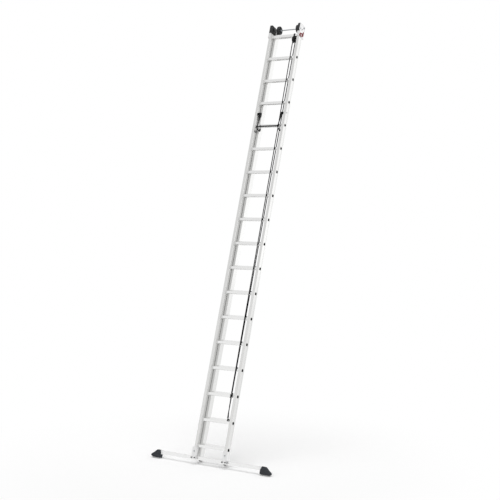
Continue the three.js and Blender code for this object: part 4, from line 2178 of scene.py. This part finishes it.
@dataclass(frozen=True)
class RopeGear:
    """The rope: hauling strand, lifting strand, tie, knot and the cleat that takes the tail."""

    rope: LaidRope = LaidRope()
    tail_rope: LaidRope = LaidRope(radius=3.4, lay=26.0, step=3.5)
    tie_rope: LaidRope = LaidRope(radius=3.3, lay=26.0, step=3.5)
    haul_route: tuple[Point3, ...] = ((124.8, -23.0, 3640.0), (127.5, -23.0, 2100.0))
    knot: Point3 = (130.0, -25.0, 558.0)
    knot_half: float = 20.0  # half its height
    knot_coil: Point2 = (7.4, 6.4)  # radii of its turns
    knot_turns: int = 3
    tail_route: tuple[Point3, ...] = (
        (132.0, -25.0, 440.0),
        (137.0, -17.0, 350.0),
        (140.0, -5.0, 323.0),
    )
    lift_end: float = 326.0
    tie_x: float = 100.0
    tie_half: float = 3.4  # half the distance between its first turn and its last
    tie_bend: float = 5.0
    tie_gap: float = 3.6  # between the rung and the rope's centre
    cleat_x: float = 147.0
    cleat_foot: Point3 = (11.0, 12.0, 4.0)  # half width, half depth and height
    cleat_post: Point3 = (7.0, 7.0, 12.0)  # the same
    horn_from: Point2 = (-2.0, 13.0)  # across and up, from the middle of the cleat's foot
    horn_to: Point2 = (20.0, 15.5)

    def build(self, bench: Bench, pulley: Pulley) -> None:
        """Makes every run of the rope and the cleat.

        Args:
            bench: The bench that they are set on.
            pulley: The pulley that the rope passes over.
        """
        knot = Vector(self.knot)
        bundle = Sketch()
        self.rope.draw(bundle, self.knot_route())
        knotted = bench.place(bundle, "hauling_rope_knot", POLYPROPYLENE, Slot.ROPE)
        over = across(arc((0.0, pulley.z), pulley.pitch, 0, 180, 24), pulley.x)
        down = [*map(Vector, self.haul_route), knot + UP * (self.knot_half + 4)]
        haul = self.cord(bench, "hauling_rope", self.rope, over + down, "knot", [knotted])
        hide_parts("haul_rope")
        tail = [knot - UP * (self.knot_half + 2), *map(Vector, self.tail_route)]
        self.cord(bench, "hauling_rope_tail", self.tail_rope, tail, "object", [])
        self.lift(bench, pulley)
        bench.place(
            self.tie(), "rope_tie_turns", POLYPROPYLENE, Slot.ROPE, Body.FLY, ["rope_tie"]
        )
        bench.place(
            self.cleat(),
            "rope_cleat_horns",
            BLACK_NYLON,
            Slot.BLACK_PLASTIC,
            stands_for=["rope_cleat"],
        )

    def knot_route(self) -> list[Vector]:
        """Lays out the close turns of the knot, from its top down.

        Returns:
            The points that the rope's centre passes through.
        """
        knot = Vector(self.knot)
        steps = 20 * self.knot_turns
        route = []
        for i in range(steps + 1):
            turn = 2 * math.pi * self.knot_turns * i / steps
            x, y = self.knot_coil[0] * math.cos(turn), self.knot_coil[1] * math.sin(turn)
            route.append(knot + Vector((x, y, self.knot_half * (1 - 2 * i / steps))))
        return route

    def lift(self, bench: Bench, pulley: Pulley) -> None:
        """Makes the taut strand to the fly, with a mesh of its own; it is drawn at one length,
        though the slide shortens it.

        Args:
            bench: The bench that it is set on.
            pulley: The pulley that it comes from.
        """
        sketch = Sketch()
        start = pulley.pin + Vector((0.0, pulley.pitch, -0.6))
        end = Vector((self.tie_x, pulley.pitch + 4, self.lift_end))
        length = self.rope.draw(sketch, [start, start.lerp(end, 0.5), end])
        strand = bench.place(
            sketch, "lifting_rope", POLYPROPYLENE, Slot.ROPE, stands_for=["lift_rope"]
        )
        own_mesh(strand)
        log.info("lifting rope: %.0f mm", length)

    @staticmethod
    def cord(
        bench: Bench,
        name: str,
        rope: LaidRope,
        route: Sequence[Vector],
        far_end: str,
        pieces: Sequence[bpy.types.Object],
    ) -> bpy.types.Object:
        """Makes one run of free rope, at its real length.

        Args:
            bench: The bench that it is set on.
            name: The piece's name.
            rope: The rope.
            route: Points that its centre passes through.
            far_end: What it ends in; not used.
            pieces: The pieces on it; not used.

        Returns:
            The piece.
        """
        sketch = Sketch()
        length = rope.draw(sketch, route)
        strand = bench.place(sketch, name, POLYPROPYLENE, Slot.ROPE)
        log.info("%s: %.0f mm of rope", name, length)
        return strand

    def tie(self) -> Sketch:
        """Draws two turns of rope round the fly's second rung.

        Returns:
            The sketch.
        """
        sketch = Sketch()
        y, z = LADDER.fly_y, LADDER.pitch + LADDER.fly_raise
        bend = self.tie_bend
        inset = LADDER.rung / 2 + self.tie_gap - bend
        corners = []
        for cy, cz, start in ((1, 1, 0), (-1, 1, 90), (-1, -1, 180), (1, -1, 270)):
            corners += arc((y + cy * inset, z + cz * inset), bend, start, start + 90, 5)
        steps = 2 * len(corners)
        route = []
        for i in range(steps + 1):
            aside = self.tie_half * (2 * i / steps - 1)
            route.append(Vector((self.tie_x + aside, *corners[i % len(corners)])))
        self.tie_rope.draw(sketch, route)
        return sketch

    def cleat(self) -> Sketch:
        """Draws the cleat: a foot on the rung and two upswept horns.

        Returns:
            The sketch.
        """
        sketch = Sketch()
        x, z = self.cleat_x, LADDER.pitch + LADDER.rung / 2 + 0.4
        wide, deep, high = self.cleat_foot
        sketch.box((x - wide, -deep, z), (x + wide, deep, z + high), 1.2)
        wide, deep, high = self.cleat_post
        sketch.box((x - wide, -deep, z + 2), (x + wide, deep, z + high), 2.0)
        for way in (-1, 1):
            ends = (self.horn_from, self.horn_to)
            root, tip = (Vector((x + way * aside, 0.0, z + up)) for aside, up in ends)
            sketch.rod(root, tip, 6.0, 18, 1.6, end_radius=3.6)
        return sketch


@dataclass(frozen=True)
class RungLock:
    """The gravity catch: two hooks below a fly rung, joined by a bar in front of the base rung."""

    y: float = -12.0  # of its pivots
    z: float = 3786.0
    eye: float = 16.0  # radius of a hook's plate about the pivot
    inner: float = 131.0
    plate: float = 6.0
    bar_y: float = -56.4
    bar_z: float = 3613.6
    bar_radius: float = 8.0
    boss: float = 12.0  # radius of a hook's plate about the bar
    sleeve_half: float = 118.0
    hub_radius: float = 13.0
    hub_end: float = 167.5
    stub: float = 4.9  # radius
    stub_ends: Point2 = (160.0, 177.5)
    pivot_bolt: Bolt = Bolt(7.0, 1.6, 5.4, 5.0)
    wire: LaidRope = LaidRope(radius=1.6, lay=60.0, step=2.0, sides=8, ridge=0.0)
    coil: float = 14.4  # radius of the spring
    coil_turns: int = 6
    coil_from: float = 163.0
    coil_leg: tuple[Point2, ...] = ((-29.0, 3735.0), (-31.0, 3706.0))
    # A hook from its eye down past the bar, under the rung, up round the lip and back.
    hook_outline: tuple[Point2, ...] = (
        (-32, 3732),
        (-34, 3696),
        (-49, 3652),
        (-51, 3604),
        (-38, 3588),
        (-10, 3581),
        (24, 3581),
        (36, 3590),
        (39, 3604),
        (39, 3628.5),
        (28, 3625.5),
        (26, 3604),
        (18, 3595),
        (-8, 3595),
        (-28, 3601),
        (-35, 3612),
        (-36, 3656),
        (-21, 3698),
        (-13, 3732),
    )

    def build(self, bench: Bench) -> None:
        """Makes the frame of hooks and bar, its hubs and its pivots.

        Args:
            bench: The bench that they are set on.
        """
        frame = Sketch()
        for start in (-self.inner - self.plate, self.inner):
            self.hook(frame, start)
        reach = self.inner + 2
        bar = Vector((0.0, self.bar_y, self.bar_z))
        frame.rod(bar - ACROSS * reach, bar + ACROSS * reach, self.bar_radius - 1.2, 24, 0)
        bench.place(frame, "lock_hooks", BLACK_STEEL, Slot.BLACK_STEEL, Body.LOCK, ["lock_frame"])
        grip = Sketch()
        half = ACROSS * self.sleeve_half
        grip.rod(bar - half, bar + half, self.bar_radius, 28, 1.0)
        bench.place(grip, "lock_bar_sleeve", BLACK_NYLON, Slot.BLACK_STEEL, Body.LOCK)
        bench.place_pairs(
            Pair("lock_hub", self.hub, BLACK_NYLON, Slot.BLACK_STEEL, Body.LOCK),
            Pair("lock_spring", self.spring, BLACK_STEEL, Slot.BLACK_STEEL, Body.LOCK),
            Pair("lock_pivot_bolt", self.pivot_end, ZINC_STEEL, Slot.ZINC),
        )

    @property
    def pivot(self) -> Vector:
        """The middle of the pivots' axis."""
        return Vector((0.0, self.y, self.z))

    def hub(self) -> Sketch:
        """Draws the right-hand hub and the stub pivot that reaches into the base stile.

        Returns:
            The sketch.
        """
        start, end = self.pivot + ACROSS * (self.inner + 4), self.pivot + ACROSS * self.hub_end
        sketch = Sketch().rod(start, end, self.hub_radius, 28, 1.2)
        start, end = (self.pivot + ACROSS * x for x in self.stub_ends)
        return sketch.rod(start, end, self.stub, 20, 0.4)

    def pivot_end(self) -> Sketch:
        """Draws the bolt on the base stile's outer face."""
        face = self.pivot + ACROSS * (LADDER.base_outer - LADDER.groove)
        return self.pivot_bolt.draw(Sketch(), face, ACROSS)

    def spring(self) -> Sketch:
        """Draws the right-hand return spring: a coil on the hub and a leg down the hook plate.

        Returns:
            The sketch.
        """
        sketch = Sketch()
        start, end = self.coil_from, self.inner + self.plate + 3.6
        steps = 24 * self.coil_turns
        route = []
        for i in range(steps + 1):
            turn = 2 * math.pi * self.coil_turns * i / steps
            y = self.y - self.coil * math.cos(turn)
            z = self.z + self.coil * math.sin(turn)
            route.append(Vector((start + (end - start) * i / steps, y, z)))
        self.wire.draw(sketch, route + across(self.coil_leg, end))
        return sketch

    def hook(self, sketch: Sketch, x: float) -> None:
        """Adds one hook plate, which runs under the base rung to an upturned lip.

        Args:
            sketch: The sketch that it is added to.
            x: Where the plate's left face lies.
        """
        shoulder = self.z - 6
        outline = [
            (self.y - 14, shoulder),
            *self.hook_outline,
            (self.y + 14, shoulder),
        ]
        sketch.prism(across(outline, x), ACROSS * self.plate, corner=3.0, soften=0.9)
        for y, z, radius in ((self.y, self.z, self.eye), (self.bar_y, self.bar_z, self.boss)):
            at = Vector((x, y, z))
            sketch.rod(at, at + ACROSS * self.plate, radius, 28, 0.9)


# ---------------------------------------------------------------- the studio


@dataclass(frozen=True)
class Lamp:
    """One square soft lamp."""

    name: str
    place: Point3  # metres
    size: float  # length of its side, in metres
    power: float  # watts
    aim: Union[Point3, None] = None  # the ladder's middle if there is none
    mirrored: bool = True  # whether metal shows its reflection

    def hang(self, middle: Vector) -> None:
        """Hangs the lamp.

        Args:
            middle: The ladder's middle.
        """
        data = bpy.data.lights.new(self.name, "AREA")
        data.shape = "SQUARE"
        data.size = self.size
        data.energy = self.power
        made = bpy.data.objects.new(self.name, data)
        made.location = self.place
        made.visible_camera = False
        made.visible_glossy = self.mirrored
        aim = middle if self.aim is None else Vector(self.aim)
        made.rotation_mode = "QUATERNION"
        made.rotation_quaternion = (aim - Vector(self.place)).to_track_quat("-Z", "Y")
        bpy.context.scene.collection.objects.link(made)


@dataclass(frozen=True)
class Floor:
    """A pale floor that keeps the ladder's shadow and fades into the white behind it."""

    half: float = 60.0
    sunk: float = 0.0005  # metres under the feet
    paint: str = "#FAFAFA"
    paint_roughness: float = 0.6
    glow: float = 0.12  # seen by the camera only, so that the floor ends in white
    middle: Point3 = (0.0, -0.85, 0.0)
    fade: Point2 = (1.2, 3.0)  # metres from its middle over which it turns to plain white
    painted_shade: float = 0.12  # brightness of the dark patch that metal mirrors, painted shade on the rungs' undersides
    painted_shade_middle: Point3 = (-4.4, 3.2, 0.0)
    painted_shade_fade: Point2 = (2.6, 4.0)  # metres over which that patch turns to white

    def lay(self) -> None:
        """Lays the floor."""
        part = bmesh.new()
        bmesh.ops.create_grid(part, x_segments=1, y_segments=1, size=self.half)
        mesh = bpy.data.meshes.new("studio_floor")
        part.to_mesh(mesh)
        part.free()
        floor = bpy.data.objects.new("studio_floor", mesh)
        floor.location.z = -self.sunk
        bpy.context.scene.collection.objects.link(floor)
        mesh.materials.append(self.dress())
        floor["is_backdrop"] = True

    def dress(self) -> bpy.types.Material:
        """Makes its material: matt paint, white from afar, and in reflections a dark patch behind
        the ladder's left, painted shade for the rungs' undersides.

        Returns:
            The material.
        """
        material = bpy.data.materials.new("matt_white_paint")
        wiring = Wiring(material)
        path = wiring.add("ShaderNodeLightPath")
        seen, mirrored = path.outputs["Is Camera Ray"], path.outputs["Is Glossy Ray"]
        inputs = {"Color": linear(self.paint), "Roughness": self.paint_roughness}
        paint = wiring.add("ShaderNodeBsdfDiffuse", inputs)
        glow = wiring.glow(wiring.product(seen, self.glow))
        near = wiring.add("ShaderNodeAddShader", {0: paint.outputs["BSDF"], 1: glow})
        where = wiring.place()
        away = wiring.between(where, self.middle, "DISTANCE")
        far = wiring.product(wiring.remap(away, self.fade, smooth=True), seen)
        plain = wiring.swap(far, near.outputs["Shader"], wiring.glow(seen))
        # Reflections see a glow that dims towards a patch behind the ladder's left: painted shade
        # that darkens the rungs' undersides.
        beyond = wiring.between(where, self.painted_shade_middle, "DISTANCE")
        painted_shade = wiring.remap(beyond, self.painted_shade_fade, (self.painted_shade, 1.0), smooth=True)
        whole = wiring.swap(mirrored, plain, wiring.glow(painted_shade))
        wiring.add("ShaderNodeOutputMaterial", {"Surface": whole})
        return material


@dataclass(frozen=True)
class Studio:
    """Camera, floor, lamps and the white surroundings."""

    azimuth: float = 30.24  # degrees, of the camera round the ladder
    pitch: float = 3.53  # degrees below the level
    camera_place: Point3 = (5.444, -8.555, 2.705)  # from the lowest base rung's middle
    lens: float = 70.55
    sensor: float = 36.0
    clip_end: float = 300.0
    floor: Floor = Floor()
    lamps: tuple[Lamp, ...] = (
        Lamp("key_softbox", (9.0, 15.4, 5.0), 14.0, 230.0),
        Lamp("top_softbox", (0.0, -1.0, 9.5), 5.0, 300.0, mirrored=False),
        Lamp("fill_softbox", (-9.0, -15.0, 5.5), 10.0, 38.0, aim=(0.0, -0.8, 0.5)),
    )
    ambient: float = 0.62  # of the white surroundings, on plain surfaces
    gleam: float = 0.82  # of the same surroundings, in reflections

    def camera(self, bench: Bench) -> None:
        """Sets the camera.

        Args:
            bench: The bench, which knows where the ladder stands.
        """
        data = bpy.data.cameras.new("studio_camera")
        data.lens = self.lens
        data.sensor_width = self.sensor
        data.clip_end = self.clip_end
        made = bpy.data.objects.new("studio_camera", data)
        made.location = bench.origin + Vector(self.camera_place)
        made.rotation_euler = (math.radians(90 - self.pitch), 0.0, math.radians(self.azimuth))
        bpy.context.scene.collection.objects.link(made)
        bpy.context.scene.camera = made

    def light(self) -> None:
        """Lights the ladder from both sides and above, with a white world."""
        low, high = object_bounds()
        for lamp in self.lamps:
            lamp.hang((low + high) / 2)
        world = bpy.data.worlds.new("white_studio")
        bpy.context.scene.world = world
        wiring = Wiring(world)
        path = wiring.add("ShaderNodeLightPath").outputs
        unseen = wiring.remap(path["Is Glossy Ray"], (0.0, 1.0), (self.ambient, self.gleam))
        strength = wiring.remap(path["Is Camera Ray"], (0.0, 1.0), (unseen, 1.0))
        sky = wiring.add("ShaderNodeBackground", {"Color": wiring.white, "Strength": strength})
        wiring.add("ShaderNodeOutputWorld", {"Surface": sky.outputs["Background"]})
        bpy.context.scene.view_settings.view_transform = "Standard"


def main() -> None:
    """Loads the frame, builds every sub-assembly round it and sets up the studio."""
    logging.basicConfig(level=logging.INFO, format="%(message)s")
    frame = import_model()
    bench = Bench(frame)
    studio = Studio()
    studio.camera(bench)
    Section(
        "base",
        Body.BASE,
        BaseStile(),
        Rung(half_length=LADDER.base_outer - LADDER.groove, web=LADDER.base_inner),
        rung_y=0.0,
        rung_raise=0.0,
        webs=(LADDER.base_inner, LADDER.base_outer),
        capped=True,
    ).build(bench)
    Section(
        "fly",
        Body.FLY,
        FlyStile(),
        Rung(half_length=LADDER.fly_outer, web=LADDER.fly_inner),
        rung_y=LADDER.fly_y,
        rung_raise=LADDER.fly_raise,
        webs=(LADDER.fly_inner, LADDER.fly_outer),
        capped=False,
    ).build(bench)
    StilePlugs().build(bench)
    StabiliserBar().build(bench)
    StileBracket().build(bench)
    TopGuide().build(bench)
    Head().build(bench)
    pulley = Pulley()
    pulley.build(bench)
    RopeGear().build(bench, pulley)
    RungLock().build(bench)
    studio.floor.lay()
    studio.light()


if __name__ == "__main__":
    main()
